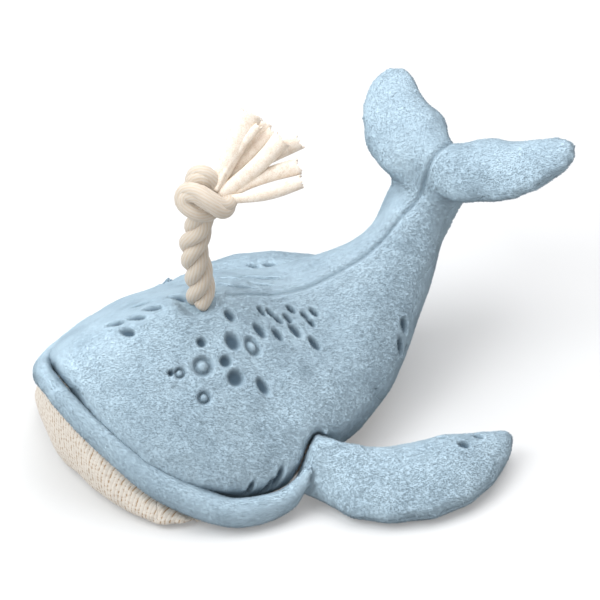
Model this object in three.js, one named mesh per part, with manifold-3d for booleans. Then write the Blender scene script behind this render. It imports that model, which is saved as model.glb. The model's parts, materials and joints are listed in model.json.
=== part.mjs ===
// A plush toy whale: plush back, ribbed knit jaw and belly, a padded lip, two flippers,
// a bending tail with flukes and a knotted rope spout, each as its own closed solid.
// Millimetres, +X to the snout, +Y to the whale's left, +Z up, standing on z = 0.
import * as THREE from 'three';
import { mergeVertices } from 'three/addons/utils/BufferGeometryUtils.js';
import Module from 'manifold-3d';

const wasm = await Module();
wasm.setup();

// Driving dimensions, in millimetres.
const headLength = 97;
const headHeight = 85;
const headHalfWidth = 85.5;
const bodyLength = 260;
const tailSideBend = 29;
const skinThickness = 3;
const gap = 0.3;
const runningGap = 0.4;
const cutOverrun = 40;

const lipRadius = 8;
const lipFrontRadius = 6;
const lipEndRadius = 3.2;

const tailHingeX = -103;
const tailHingeZ = 45.5;
const tailHingeRadius = 32;
const tailClearance = 1;
const tailLift = THREE.MathUtils.degToRad(15);
const tailDrop = THREE.MathUtils.degToRad(12);

const flukeRootX = -160;
const flukeRootZ = 103;
const flukeHalfSpan = 65;
const flukeChord = 50;
const flukeThickness = 18;
const flukeLeftCurl = 7;
const flukePitch = THREE.MathUtils.degToRad(15);

const flipperRootLowX = -19;
const flipperRootLowY = 84;
const flipperRootLowZ = 5.5;
const flipperRootHighX = -37;
const flipperRootHighY = 74;
const flipperRootHighZ = 31.5;
const flipperLength = 116;
const flipperSpread = 57;
const flipperThickness = 19.5;
const flipperRise = 28;
const flipperRootRadius = 9;
const flipperSwing = THREE.MathUtils.degToRad(30);
const rightFlipperRestSwing = THREE.MathUtils.degToRad(35);

const ropeRadius = 7.8;
const ropeSeatDepth = 2;
const ropeSway = THREE.MathUtils.degToRad(20);
const anchorDepth = 34;
const anchorKnotRadius = 12;
const anchorSlopeShare = 0.8;
const knotCoreRadius = 7;
const knotRopeRadius = 5.7;
const knotBack = 1.2;
const knotLeft = 0.6;
const knotRise = 11;
const knotFacing = THREE.MathUtils.degToRad(153);
const knotTilt = THREE.MathUtils.degToRad(40);
const tasselRight = 9;
const tasselUp = 2;
const tasselBack = 4;
const stripLength = 45;
const stripWidth = 6.2;
const stripThickness = 1.5;

// Each row is one slice of the body, as shares. The side seam point's x, y and z, the ridge's
// x and z and the keel's x and z follow, over bodyLength, headHalfWidth and headHeight.
const sliceShares = [
  [0.0231, 0.047, 0.723, 0.027, 0.765, 0.023, 0.681, 0.000, 1.450],
  [0.0308, 0.129, 0.663, 0.042, 0.801, 0.025, 0.554, 0.200, 1.450],
  [0.0442, 0.234, 0.584, 0.069, 0.831, 0.023, 0.398, 0.400, 1.450],
  [0.0635, 0.351, 0.494, 0.104, 0.861, 0.027, 0.217, 0.500, 1.450],
  [0.0962, 0.491, 0.380, 0.142, 0.892, 0.044, 0.060, 0.500, 1.450],
  [0.1423, 0.655, 0.253, 0.181, 0.922, 0.085, 0.000, 0.500, 1.450],
  [0.1885, 0.772, 0.181, 0.219, 0.952, 0.142, -0.006, 0.440, 1.420],
  [0.2423, 0.889, 0.127, 0.265, 0.982, 0.212, -0.006, 0.300, 1.380],
  [0.2962, 0.971, 0.108, 0.315, 1.000, 0.288, -0.006, 0.100, 1.330],
  [0.3538, 1.006, 0.104, 0.362, 1.004, 0.354, -0.006, 0.000, 1.280],
  [0.4077, 1.006, 0.139, 0.412, 0.982, 0.412, -0.006, 0.000, 1.250],
  [0.4577, 0.971, 0.265, 0.458, 0.940, 0.465, -0.006, 0.000, 1.220],
  [0.4962, 0.906, 0.361, 0.500, 0.886, 0.519, -0.006, 0.080, 1.220],
  [0.5462, 0.836, 0.337, 0.546, 0.831, 0.573, -0.006, 0.100, 1.280],
  [0.5962, 0.760, 0.325, 0.596, 0.807, 0.619, 0.008, 0.100, 1.350],
  [0.6462, 0.678, 0.349, 0.646, 0.813, 0.665, 0.060, 0.080, 1.420],
  [0.6962, 0.579, 0.410, 0.696, 0.831, 0.712, 0.133, 0.050, 1.500],
  [0.7423, 0.474, 0.494, 0.742, 0.843, 0.754, 0.217, 0.000, 1.600],
  [0.7885, 0.374, 0.578, 0.788, 0.880, 0.796, 0.325, 0.000, 1.750],
  [0.8308, 0.304, 0.663, 0.827, 0.934, 0.835, 0.446, 0.000, 1.900],
  [0.8692, 0.251, 0.759, 0.865, 1.012, 0.873, 0.566, 0.000, 2.000],
  [0.9038, 0.222, 0.855, 0.900, 1.096, 0.908, 0.687, 0.000, 2.000],
  [0.9385, 0.216, 1.000, 0.935, 1.187, 0.942, 0.831, 0.000, 2.000],
  [0.9731, 0.211, 1.108, 0.969, 1.247, 0.977, 0.976, 0.000, 2.000],
];
// The upper edge of the belly panel, as a share of the way from the side seam to the keel.
const bellyEdgeShares = [
  0, 0, 0, 0, 0, 0, 0, 0, 0, 0, 0, 0, 0.14, 0.3, 0.44, 0.56, 0.66, 0.76, 0.86, 0.9, 0.93, 0.95, 0.96, 0.97,
];
// Places along the body as shares: a slice's number and the part of the way to the next.
const knitSeamShare = 5.25;
const seamTurnShare = 0.03;
const lipFirstShare = 0.4;
const lipEndShare = 12;
const skinStartShare = 0.6;
const liningStartShare = 0.9;
const fillingStartShare = 1.05;
const liningEndShare = 22.6;
const fillingEndShare = 22.5;
const dorsalStartShare = 9.6;
const trunkEndShare = 20;
const tailStartShare = 14;
const tailEndShare = 23;
const flukeSeamStartShare = 17.5;
const sheetInnerShare = 0.32;
const sheetOuterShare = 0.52;
const sheetTipShare = 1.2;
const chinSlitShares = [0.6, 1.15];
const rootInsetShare = 1.4;
const bendStartShare = 0.604;
const bendCurveShare = 1.75;
const bellyRoundShare = 2.3;

// Pure shape helpers.

function catmull(a, b, c, d, t) {
  const slopeIn = (c - a) / 2;
  const slopeOut = (d - b) / 2;
  const t2 = t * t;
  const t3 = t2 * t;
  return (2 * t3 - 3 * t2 + 1) * b + (t3 - 2 * t2 + t) * slopeIn
    + (3 * t2 - 2 * t3) * c + (t3 - t2) * slopeOut;
}

function sampleRows(rows, at) {
  const last = rows.length - 1;
  const i = Math.min(Math.floor(at), last - 1);
  const pick = (n) => rows[Math.max(0, Math.min(last, n))];
  return rows[0].map((_, k) => catmull(pick(i - 1)[k], pick(i)[k], pick(i + 1)[k], pick(i + 2)[k], at - i));
}

function sampleLine(values, at) {
  return sampleRows(values.map((value) => [value]), at)[0];
}

function steps(from, to, count) {
  return Array.from({ length: count + 1 }, (_, i) => from + (to - from) * i / count);
}

// The spine bends to the whale's right behind the belly.
function spine(x) {
  const start = headLength - bendStartShare * bodyLength;
  const reach = start - (headLength - bodyLength);
  const t = Math.max(0, (start - x) / reach);
  const side = -tailSideBend * t ** bendCurveShare;
  const heading = Math.atan(tailSideBend * bendCurveShare * t ** (bendCurveShare - 1) / reach);
  return { side, heading };
}

function bendPoint(x, y, z) {
  const { side, heading } = spine(x);
  return new THREE.Vector3(x - y * Math.sin(heading), side + y * Math.cos(heading), z);
}

function slice(at) {
  const [seamX, seamY, seamZ, ridgeX, ridgeZ, keelX, keelZ, bulge, fullness] = sampleRows(sliceShares, at);
  return {
    seam: [headLength - seamX * bodyLength, seamY * headHalfWidth, seamZ * headHeight],
    ridge: [headLength - ridgeX * bodyLength, ridgeZ * headHeight],
    keel: [headLength - keelX * bodyLength, keelZ * headHeight],
    bulge,
    fullness,
  };
}

// A point of the body's surface. The turn goes from -1 at the keel through 0 at the side
// seam to 1 at the ridge, on the left for side 1 and on the right for side -1.
function bodyPoint(at, turn, side) {
  const { seam, ridge, keel, bulge, fullness: backFullness } = slice(at);
  const [endX, endZ] = turn >= 0 ? ridge : keel;
  const fullness = turn >= 0 ? backFullness : bellyRoundShare;
  const angle = Math.abs(turn) * Math.PI / 2;
  const swell = turn >= 0 ? 0 : bulge * Math.sin(Math.PI * Math.abs(turn) ** 1.5);
  const round = Math.cos(angle) ** (2 / fullness);
  const along = Math.sin(angle) ** (2 / fullness);
  const x = endX + (seam[0] - endX) * round;
  const z = seam[2] + (endZ - seam[2]) * along;
  return bendPoint(x, side * seam[1] * (round + swell), z);
}

// A slice's points from the left edge over the ridge to the right edge, or under the keel.
function arcAcross(at, edgeTurn, endTurn, count) {
  const half = steps(edgeTurn, endTurn, count);
  const left = half.map((turn) => bodyPoint(at, turn, 1));
  const right = half.slice(0, -1).reverse().map((turn) => bodyPoint(at, turn, -1));
  return [...left, ...right];
}

function ringAround(at, upper, lower) {
  const over = arcAcross(at, 0, 1, upper);
  const under = arcAcross(at, 0, -1, lower).reverse();
  return [...over, ...under.slice(1, -1)];
}

// Moves a grid of rows inwards along its own normals.
function inset(grid, depth, closed, flip) {
  return grid.map((row, i) => row.map((point, j) => {
    const before = grid[Math.max(0, i - 1)][j];
    const after = grid[Math.min(grid.length - 1, i + 1)][j];
    const n = row.length;
    const left = closed ? row[(j + n - 1) % n] : row[Math.max(0, j - 1)];
    const right = closed ? row[(j + 1) % n] : row[Math.min(n - 1, j + 1)];
    const along = after.clone().sub(before);
    const across = right.clone().sub(left);
    const normal = along.cross(across).normalize();
    return point.clone().addScaledVector(normal, flip * depth);
  }));
}

function geometryFrom(points, faces) {
  const geometry = new THREE.BufferGeometry();
  const numbers = points.flatMap((p) => [p.x, p.y, p.z]);
  geometry.setAttribute('position', new THREE.Float32BufferAttribute(numbers, 3));
  geometry.setIndex(faces.flat());
  return geometry;
}

function middle(row) {
  const sum = row.reduce((total, point) => total.add(point), new THREE.Vector3());
  return sum.divideScalar(row.length);
}

// A closed skin through rings, with a fan over each end.
function ringLoft(rings) {
  const n = rings[0].length;
  const points = [...rings.flat(), middle(rings[0]), middle(rings.at(-1))];
  const front = points.length - 2;
  const back = points.length - 1;
  const faces = [];
  for (let i = 0; i < rings.length - 1; i++) {
    for (let j = 0; j < n; j++) {
      const a = i * n + j;
      const b = i * n + (j + 1) % n;
      faces.push([a, b, b + n], [a, b + n, a + n]);
    }
  }
  const lastRow = (rings.length - 1) * n;
  for (let j = 0; j < n; j++) {
    const next = (j + 1) % n;
    faces.push([front, next, j], [back, lastRow + j, lastRow + next]);
  }
  return geometryFrom(points, faces);
}

// A closed panel between an outer and an inner grid of open rows.
function panelLoft(outer, inner) {
  const rings = outer.map((row, i) => [...row, ...inner[i].slice().reverse()]);
  const n = rings[0].length;
  const points = rings.flat();
  const faces = [];
  for (let i = 0; i < rings.length - 1; i++) {
    for (let j = 0; j < n; j++) {
      const a = i * n + j;
      const b = i * n + (j + 1) % n;
      faces.push([a, b, b + n], [a, b + n, a + n]);
    }
  }
  const lastRow = (rings.length - 1) * n;
  for (let j = 0; j < n / 2 - 1; j++) {
    const facing = n - 1 - j;
    faces.push([j + 1, j, facing], [j + 1, facing, facing - 1]);
    const k = lastRow + j;
    const l = lastRow + facing;
    faces.push([k, k + 1, l], [k + 1, l - 1, l]);
  }
  return geometryFrom(points, faces);
}

// Booleans.

function toSolid(geometry) {
  const bare = geometry.clone();
  bare.deleteAttribute('normal');
  bare.deleteAttribute('uv');
  const merged = mergeVertices(bare);
  const solid = new wasm.Manifold(new wasm.Mesh({
    numProp: 3,
    vertProperties: new Float32Array(merged.attributes.position.array),
    triVerts: new Uint32Array(merged.index.array),
  }));
  return solid;
}

function outward(solid, geometry) {
  if (solid.volume() > 0) return solid;
  const flipped = geometry.clone();
  const index = Array.from(flipped.index.array);
  for (let i = 0; i < index.length; i += 3) [index[i], index[i + 1]] = [index[i + 1], index[i]];
  flipped.setIndex(index);
  return toSolid(flipped);
}

function solidOf(geometry) {
  return outward(toSolid(geometry), geometry);
}

function toGeometry(solid) {
  const mesh = solid.getMesh();
  const geometry = new THREE.BufferGeometry();
  geometry.setAttribute('position', new THREE.Float32BufferAttribute(mesh.vertProperties, 3));
  geometry.setIndex(Array.from(mesh.triVerts));
  geometry.computeVertexNormals();
  return geometry;
}

// A tube of rings along a curve, with a radius for each ring and round ends.
function tapered(curve, radiusAt, count, sides) {
  const frames = curve.computeFrenetFrames(count, false);
  const rings = steps(0, 1, count).map((t, i) => {
    const centre = curve.getPointAt(t);
    const radius = radiusAt(t);
    return steps(0, 2 * Math.PI, sides).slice(0, -1).map((angle) => centre.clone()
      .addScaledVector(frames.normals[i], radius * Math.cos(angle))
      .addScaledVector(frames.binormals[i], radius * Math.sin(angle)));
  });
  return ringLoft(rings);
}

// The lip: a padded roll along the side seam from one corner of the mouth round the snout.
function lipCurve() {
  const left = steps(lipFirstShare, lipEndShare, 16).map((at) => bodyPoint(at, 0, 1));
  const right = left.slice().map((p) => new THREE.Vector3(p.x, -p.y, p.z));
  return new THREE.CatmullRomCurve3([...left.reverse(), ...right]);
}

function lipSolid(extra) {
  const radiusAt = (t) => {
    const fromEnd = Math.min(t, 1 - t) * 2;
    const grown = THREE.MathUtils.smoothstep(fromEnd, 0.02, 0.3);
    const slim = THREE.MathUtils.smoothstep(fromEnd, 0.35, 0.8);
    return lipEndRadius + (lipRadius - lipEndRadius) * grown - (lipRadius - lipFrontRadius) * slim + extra;
  };
  return solidOf(tapered(lipCurve(), radiusAt, 44, 10));
}

const upperCount = 6;
const lowerCount = 5;
const rowGapShare = 0.25;
const bodyRowShares = [
  0.6, 1.2, 2, 3, 4, 5.2, 6.4, 7.8, 9.2, 10.5, 11.6, 12.8, 14.2, 15.6, 17, 18.4, 19.8, 21.2, 22.3,
];

function rowsBetween(from, to) {
  const inside = bodyRowShares.filter((at) => at > from + rowGapShare && at < to - rowGapShare);
  return [from, ...inside, to];
}

function bodyForm(from, to, depth) {
  const grid = rowsBetween(from, to).map((at) => ringAround(at, upperCount, lowerCount));
  return solidOf(ringLoft(inset(grid, depth, true, -1)));
}

// The surface's point at a slice and turn, with its outward normal and its two directions.
function surfaceFrame(at, turn, side) {
  const step = 0.02;
  const high = Math.min(turn + step, 1);
  const low = Math.max(turn - step, -1);
  const along = bodyPoint(at + step, turn, side).sub(bodyPoint(at - step, turn, side)).normalize();
  const around = bodyPoint(at, high, side).sub(bodyPoint(at, low, side)).normalize();
  const normal = along.clone().cross(around).normalize();
  return { point: bodyPoint(at, turn, side), along, around, normal };
}

// A thin slab along rows of points, with half of its thickness on each side of them.
function slab(rows, lifts) {
  const n = rows[0].length;
  const over = rows.flatMap((row, i) => row.map((p) => p.clone().add(lifts[i])));
  const under = rows.flatMap((row, i) => row.map((p) => p.clone().sub(lifts[i])));
  const base = over.length;
  const faces = [];
  for (let i = 0; i < rows.length - 1; i++) {
    for (let j = 0; j < n - 1; j++) {
      const a = i * n + j;
      const b = base + a;
      faces.push([a, a + 1, a + n + 1], [a, a + n + 1, a + n]);
      faces.push([b, b + n + 1, b + 1], [b, b + n, b + n + 1]);
    }
  }
  const columns = steps(0, n - 1, n - 1);
  const inner = steps(1, rows.length - 1, rows.length - 2);
  const lastRow = (rows.length - 1) * n;
  const rim = [
    ...columns,
    ...inner.map((i) => i * n + n - 1),
    ...columns.slice(0, -1).reverse().map((j) => lastRow + j),
    ...inner.slice(0, -1).reverse().map((i) => i * n),
  ];
  rim.forEach((a, k) => {
    const b = rim[(k + 1) % rim.length];
    faces.push([b, a, base + a], [b, base + a, base + b]);
  });
  return solidOf(geometryFrom([...over, ...under], faces));
}

// A slit through the skin along a line on the surface, a seam's gap wide.
function slit(frames, across) {
  const reach = 2 * skinThickness;
  const rows = frames.map(({ point, normal }) => [
    point.clone().addScaledVector(normal, -reach),
    point.clone().addScaledVector(normal, reach),
  ]);
  return slab(rows, frames.map((frame) => frame[across].clone().multiplyScalar(gap / 2)));
}

function bellyEdge(at) {
  return -sampleLine(bellyEdgeShares, at);
}

// The tail turns on a drum-shaped joint across the body, which trunk and tail share.
function tailSide(extra) {
  const radius = tailHingeRadius + extra;
  const behind = bodyLength;
  const shape = new THREE.Shape();
  shape.moveTo(tailHingeX, tailHingeZ + behind);
  shape.lineTo(tailHingeX - behind, tailHingeZ + behind);
  shape.lineTo(tailHingeX - behind, tailHingeZ - behind);
  shape.lineTo(tailHingeX, tailHingeZ - behind);
  shape.lineTo(tailHingeX, tailHingeZ - radius);
  shape.absarc(tailHingeX, tailHingeZ, radius, -Math.PI / 2, Math.PI / 2, false);
  const width = 4 * headHalfWidth;
  const geometry = new THREE.ExtrudeGeometry(shape, { depth: width, bevelEnabled: false, curveSegments: 20 });
  geometry.rotateX(Math.PI / 2);
  geometry.translate(0, width / 2, 0);
  return solidOf(geometry);
}

// The flukes' own frame: back along the tail, left across it, from the notch.
function flukePoint(back, left, rise) {
  const { heading } = spine(flukeRootX);
  const level = back * Math.cos(flukePitch);
  return bendPoint(flukeRootX, 0, flukeRootZ + back * Math.sin(flukePitch) + rise).add(new THREE.Vector3(
    -level * Math.cos(heading) - left * Math.sin(heading),
    -level * Math.sin(heading) + left * Math.cos(heading),
    0,
  ));
}

// The left lobe curls up towards its tip.
function lobeRise(left) {
  return flukeLeftCurl * (Math.max(left, 0) / flukeHalfSpan) ** 2;
}

// The height of the flukes' middle plane above a place on the spine.
function flukePlane(x) {
  return flukeRootZ + (flukeRootX - x) * Math.tan(flukePitch);
}

// The slit of the tail's side seam: level with the stalk's sides, then out to the flukes' edges.
function tailSeamSheet() {
  const inner = flukeHalfSpan * sheetInnerShare;
  const outer = flukeHalfSpan * sheetOuterShare;
  const tip = flukeHalfSpan * sheetTipShare;
  const columns = [-tip, -outer, -inner, 0, inner, outer, flukeHalfSpan, tip];
  const stalk = steps(tailStartShare - 1, tailEndShare - 1, 9).map((at) => {
    const { seam } = slice(at);
    const lift = THREE.MathUtils.smoothstep(at, flukeSeamStartShare, flukeSeamStartShare + 2);
    const beside = THREE.MathUtils.lerp(seam[2], flukePlane(seam[0]), lift);
    return columns.map((y) => bendPoint(seam[0], y, Math.abs(y) > inner ? beside + lobeRise(y) : seam[2]));
  });
  const flukes = [0, 2 * flukeChord].map((back) => (
    columns.map((left) => flukePoint(back, left, lobeRise(left)))
  ));
  const rows = [...stalk, ...flukes];
  return slab(rows, rows.map(() => new THREE.Vector3(0, 0, gap / 2)));
}

// The slit of the tail's upper seam, from the side seam's level upwards along the middle.
function tailRidgeSlit() {
  const stalk = steps(tailStartShare - 1, tailEndShare - 1, 9).map((at) => {
    const { seam } = slice(at);
    return [bendPoint(seam[0], 0, seam[2]), bendPoint(seam[0], 0, seam[2] + headHeight)];
  });
  const flukes = [0, 2 * flukeChord].map((back) => [flukePoint(back, 0, 0), flukePoint(back, 0, headHeight)]);
  const { heading } = spine(flukeRootX);
  const aside = new THREE.Vector3(-Math.sin(heading), Math.cos(heading), 0).multiplyScalar(gap / 2);
  const rows = [...stalk, ...flukes];
  return slab(rows, rows.map(() => aside));
}

function fullTurn(count) {
  return steps(0, 2 * Math.PI, count).slice(0, -1);
}

function least(depth) {
  return depth > 0 ? gap : 0;
}

// A stuffed lobe between a leading and a trailing edge, from rows of lead, trail and thickness.
function pillow(rows, depth, angles) {
  const middles = rows.map((row) => row.lead.clone().add(row.trail).multiplyScalar(0.5));
  const rings = rows.map((row, i) => {
    const along = middles[Math.min(i + 1, rows.length - 1)].clone().sub(middles[Math.max(i - 1, 0)]);
    const chord = row.lead.clone().sub(row.trail);
    const half = Math.max(chord.length() / 2 - depth, chord.length() / 8);
    const thick = Math.max(row.thickness / 2 - depth, row.thickness / 8);
    const across = chord.normalize();
    const up = along.cross(across).normalize();
    if (up.z < 0) up.negate();
    return angles.map((angle) => middles[i].clone()
      .addScaledVector(across, half * Math.cos(angle))
      .addScaledVector(up, thick * Math.sin(angle)));
  });
  return rings;
}

// Each row of a lobe: the span's share, then the leading and trailing edges' shares of the
// chord behind the notch, and the thickness' share.
const lobeShares = [
  [0.00, -0.44, 0.02, 1.00],
  [0.15, -0.50, 0.21, 1.00],
  [0.31, -0.60, 0.40, 0.98],
  [0.47, -0.50, 0.44, 0.92],
  [0.62, -0.37, 0.54, 0.86],
  [0.77, -0.24, 0.66, 0.78],
  [0.89, -0.05, 0.67, 0.66],
  [0.97, 0.16, 0.58, 0.46],
  [1.00, 0.30, 0.46, 0.24],
];

// The lobes run into each other past the middle.
function flukeLobe(side, depth) {
  const thickEnough = ([, , , thick]) => thick * flukeThickness / 2 > depth + least(depth);
  const rows = lobeShares.filter(thickEnough).map(([span, lead, trail, thick]) => {
    const left = side * (span * (flukeHalfSpan - depth) - (1 - span) * skinThickness);
    return {
      lead: flukePoint(lead * flukeChord, left, lobeRise(left)),
      trail: flukePoint(trail * flukeChord, left, lobeRise(left)),
      thickness: thick * flukeThickness,
    };
  });
  return solidOf(ringLoft(pillow(rows, depth, fullTurn(12))));
}

function tailForm(depth, endSlice) {
  return bodyForm(tailStartShare, endSlice, depth).add(flukeLobe(1, depth)).add(flukeLobe(-1, depth));
}

// A flipper's rows from its sewn root: the leading edge's and the trailing edge's reach, spread
// and rise as shares of the flipper's length, spread and rise, and the thickness' share.
const flipperShares = [
  [0.026, 0.54, -0.50, 0.19, -0.04, 0.25, 0.96],
  [0.172, 0.78, -0.46, 0.31, 0.02, 0.07, 1.00],
  [0.353, 0.90, -0.45, 0.466, 0.03, -0.04, 1.00],
  [0.552, 0.89, -0.41, 0.603, 0.06, -0.07, 0.96],
  [0.716, 0.74, -0.375, 0.724, 0.17, -0.14, 0.86],
  [0.845, 0.52, -0.34, 0.836, 0.20, -0.20, 0.66],
  [0.914, 0.35, -0.30, 0.905, 0.22, -0.25, 0.36],
];

const rootLow = new THREE.Vector3(flipperRootLowX, flipperRootLowY, flipperRootLowZ);
const rootHigh = new THREE.Vector3(flipperRootHighX, flipperRootHighY, flipperRootHighZ);
const rootMiddle = rootLow.clone().add(rootHigh).multiplyScalar(0.5);

function flipperRings(depth, angles) {
  const place = (reach, spread, rise) => rootMiddle.clone().add(
    new THREE.Vector3(-reach * flipperLength, spread * flipperSpread, rise * flipperRise),
  );
  const rows = flipperShares.map(([leadReach, leadSpread, leadRise, reach, spread, rise, thick]) => ({
    lead: place(leadReach, leadSpread, leadRise),
    trail: place(reach, spread, rise),
    thickness: thick * flipperThickness,
  }));
  const root = { lead: rootLow.clone(), trail: rootHigh.clone(), thickness: 2 * flipperRootRadius };
  const outwards = rows[0].lead.clone().add(rows[0].trail).multiplyScalar(0.5).sub(rootMiddle).normalize();
  const inner = {
    lead: rootLow.clone().addScaledVector(outwards, -rootInsetShare * flipperRootRadius),
    trail: rootHigh.clone().addScaledVector(outwards, -rootInsetShare * flipperRootRadius),
    thickness: 2 * flipperRootRadius,
  };
  const thickEnough = (row) => row.thickness / 2 > depth + least(depth);
  const kept = depth > skinThickness ? rows.filter(thickEnough) : rows;
  return pillow([inner, root, ...kept], depth, angles);
}

// The right flipper is the left one mirrored and swung in towards the body.
function toSide(points, side) {
  if (side > 0) return points;
  const turn = new THREE.Matrix4().makeRotationZ(-rightFlipperRestSwing);
  const centre = new THREE.Vector3(rootMiddle.x, -rootMiddle.y, 0);
  return points.map((p) => new THREE.Vector3(p.x, -p.y, p.z).sub(centre).applyMatrix4(turn).add(centre));
}

function rootAxis(side) {
  return toSide([rootLow, rootHigh], side);
}

// The round sewn root, which turns in a pocket of the body.
function rootDrum(side, extra) {
  const [low, high] = rootAxis(side);
  const length = low.distanceTo(high) + 2 * extra;
  const radius = flipperRootRadius + extra;
  const geometry = new THREE.CylinderGeometry(radius, radius, length, 20);
  const axis = high.clone().sub(low).normalize();
  const turn = new THREE.Quaternion().setFromUnitVectors(new THREE.Vector3(0, 1, 0), axis);
  geometry.applyQuaternion(turn);
  const centre = low.clone().add(high).multiplyScalar(0.5);
  geometry.translate(centre.x, centre.y, centre.z);
  return solidOf(geometry);
}

function flipperForm(side, depth) {
  const rings = flipperRings(depth, fullTurn(12)).map((ring) => toSide(ring, side));
  return solidOf(ringLoft(rings));
}

function flipperPanel(side, upper) {
  const start = upper ? 0 : Math.PI;
  const angles = steps(start + seamTurnShare, start + Math.PI - seamTurnShare, 6);
  const outer = flipperRings(0, angles).map((ring) => toSide(ring, side));
  const inner = flipperRings(skinThickness, angles).map((ring) => toSide(ring, side));
  return solidOf(panelLoft(outer, inner));
}

// The rope spout: it leaves the back through a round mouth, over a seat that it sways on.
const pivot = new THREE.Vector3(0, 0, headHeight - ropeSeatDepth);
const ropeRoute = [
  new THREE.Vector3(0, 0, 0),
  new THREE.Vector3(0.5, -0.3, 14),
  new THREE.Vector3(1.9, -1, 25),
  new THREE.Vector3(3.4, -1.8, 37),
  new THREE.Vector3(0.6, -0.3, 52),
  new THREE.Vector3(-0.8, 0.4, 61),
].map((point) => point.add(pivot));

function circleShape(radius, sides) {
  const corners = steps(0, 2 * Math.PI, sides).slice(0, -1);
  return new THREE.Shape(corners.map((angle) => new THREE.Vector2(
    radius * Math.cos(angle),
    radius * Math.sin(angle),
  )));
}

function ropeSolid() {
  const curve = new THREE.CatmullRomCurve3(ropeRoute);
  const along = { steps: 7, bevelEnabled: false, extrudePath: curve };
  const tube = new THREE.ExtrudeGeometry(circleShape(ropeRadius, 12), along);
  const foot = new THREE.SphereGeometry(ropeRadius, 12, 8);
  foot.translate(pivot.x, pivot.y, pivot.z);
  return solidOf(weld(tube)).add(solidOf(weld(foot)));
}

function weld(geometry) {
  const bare = geometry.clone();
  bare.deleteAttribute('normal');
  bare.deleteAttribute('uv');
  return mergeVertices(bare);
}

const knotCentre = ropeRoute.at(-1).clone().add(new THREE.Vector3(-knotBack, knotLeft, knotRise));
const knotRight = new THREE.Vector3(Math.cos(knotFacing), Math.sin(knotFacing), 0);
const knotFront = new THREE.Vector3(Math.sin(knotFacing), -Math.cos(knotFacing), Math.tan(knotTilt))
  .normalize();
const knotUp = knotFront.clone().cross(knotRight);

function knotPlace([right, up, front]) {
  return knotCentre.clone()
    .addScaledVector(knotRight, right)
    .addScaledVector(knotUp, up)
    .addScaledVector(knotFront, front);
}

// The overhand knot's route, to the right, up and to the front from the knot's centre.
const knotRoute = [
  [-2.6, -13.9, -12], [-3.5, -8.7, -10], [-6, -1.7, -8], [-6.2, 4.8, -5], [-3.9, 9.4, -0.5], [0.6, 9.2, 0.5],
  [3.4, 4.3, -3], [4.5, -2.6, -6], [2, -8.2, -3], [-5, -8.6, 0.5], [-10.3, -3.8, 1], [-9.2, 0.6, 3],
  [-3.9, 0.7, 6.5], [2.2, -3.5, 7.5], [7.8, -7.2, 4.5], [11.4, -5.4, -1], [11.4, -0.6, -5.5],
  [9.8, 3.4, -8.5],
].map(knotPlace);

// The tube passes over itself, so it is joined from stretches that don't.
function knotSolid(extra) {
  const curve = new THREE.CatmullRomCurve3(knotRoute);
  const stretches = [[0, 0.4], [0.36, 0.72], [0.68, 1]];
  const tubes = stretches.map(([from, to]) => {
    const part = new THREE.CatmullRomCurve3(steps(from, to, 10).map((t) => curve.getPointAt(t)));
    return solidOf(tapered(part, () => knotRopeRadius + extra, 11, 9));
  });
  const core = new THREE.SphereGeometry(knotCoreRadius + extra, 12, 8);
  core.translate(knotCentre.x, knotCentre.y, knotCentre.z);
  return largest(tubes.reduce((total, tube) => total.add(tube), solidOf(weld(core))));
}

// Each jersey strip of the tassel: its turn from the knot's right in shares of a right angle,
// its length's share and its place in the stack from back to front.
const stripShares = [
  [0.78, 0.95, 4],
  [0.63, 0.93, 0],
  [0.68, 0.86, 7],
  [0.54, 0.90, 2],
  [0.46, 0.91, 6],
  [0.37, 1.06, 1],
  [0.20, 0.93, 3],
  [0.08, 0.92, 5],
];
const stripSpreadShare = 0.5;

function stripSolid([turn, length, place]) {
  const angle = turn * Math.PI / 2;
  const layer = place - (stripShares.length - 1) / 2;
  const aim = knotRight.clone().multiplyScalar(Math.cos(angle))
    .addScaledVector(knotUp, Math.sin(angle));
  const wide = knotUp.clone().multiplyScalar(Math.cos(angle)).addScaledVector(knotRight, -Math.sin(angle));
  const root = knotPlace([tasselRight, tasselUp, -tasselBack]);
  const rings = steps(0, 1, 4).map((reach) => {
    const centre = root.clone()
      .addScaledVector(aim, reach * length * stripLength)
      .addScaledVector(knotFront, layer * (stripThickness + gap) * (1 + stripSpreadShare * reach));
    return [[-1, -1], [1, -1], [1, 1], [-1, 1]].map(([i, j]) => centre.clone()
      .addScaledVector(wide, i * stripWidth / 2)
      .addScaledVector(knotFront, j * stripThickness / 2));
  });
  return solidOf(ringLoft(rings));
}

// The rope's hidden end: a seat under the mouth, the rope's stub and its stopper knot.
function anchorSolid() {
  const seat = ropeRadius + runningGap;
  const bowl = steps(-Math.PI / 2, -Math.PI / 6, 4).map((angle) => (
    new THREE.Vector2(seat * Math.cos(angle), seat * Math.sin(angle))
  ));
  bowl[0].x = 0;
  return lathe([...bowl, ...anchorProfile(0)]);
}

function anchorProfile(extra) {
  const slope = anchorKnotRadius * anchorSlopeShare;
  return [
    new THREE.Vector2(ropeRadius + extra, -anchorDepth + slope + extra),
    new THREE.Vector2(anchorKnotRadius + extra, -anchorDepth),
    new THREE.Vector2(ropeRadius + extra, -anchorDepth - slope - extra),
    new THREE.Vector2(0, -anchorDepth - anchorKnotRadius - extra),
  ];
}

// The hollow in the filling that holds the anchor, up to the pivot.
function anchorHollow() {
  const rim = ropeRadius + runningGap;
  return lathe([new THREE.Vector2(0, 0), new THREE.Vector2(rim, 0), ...anchorProfile(gap)]);
}

function lathe(profile) {
  const geometry = new THREE.LatheGeometry(profile.slice().reverse(), 16);
  geometry.rotateX(Math.PI / 2);
  geometry.translate(pivot.x, pivot.y, pivot.z);
  return solidOf(weld(geometry));
}

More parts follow.
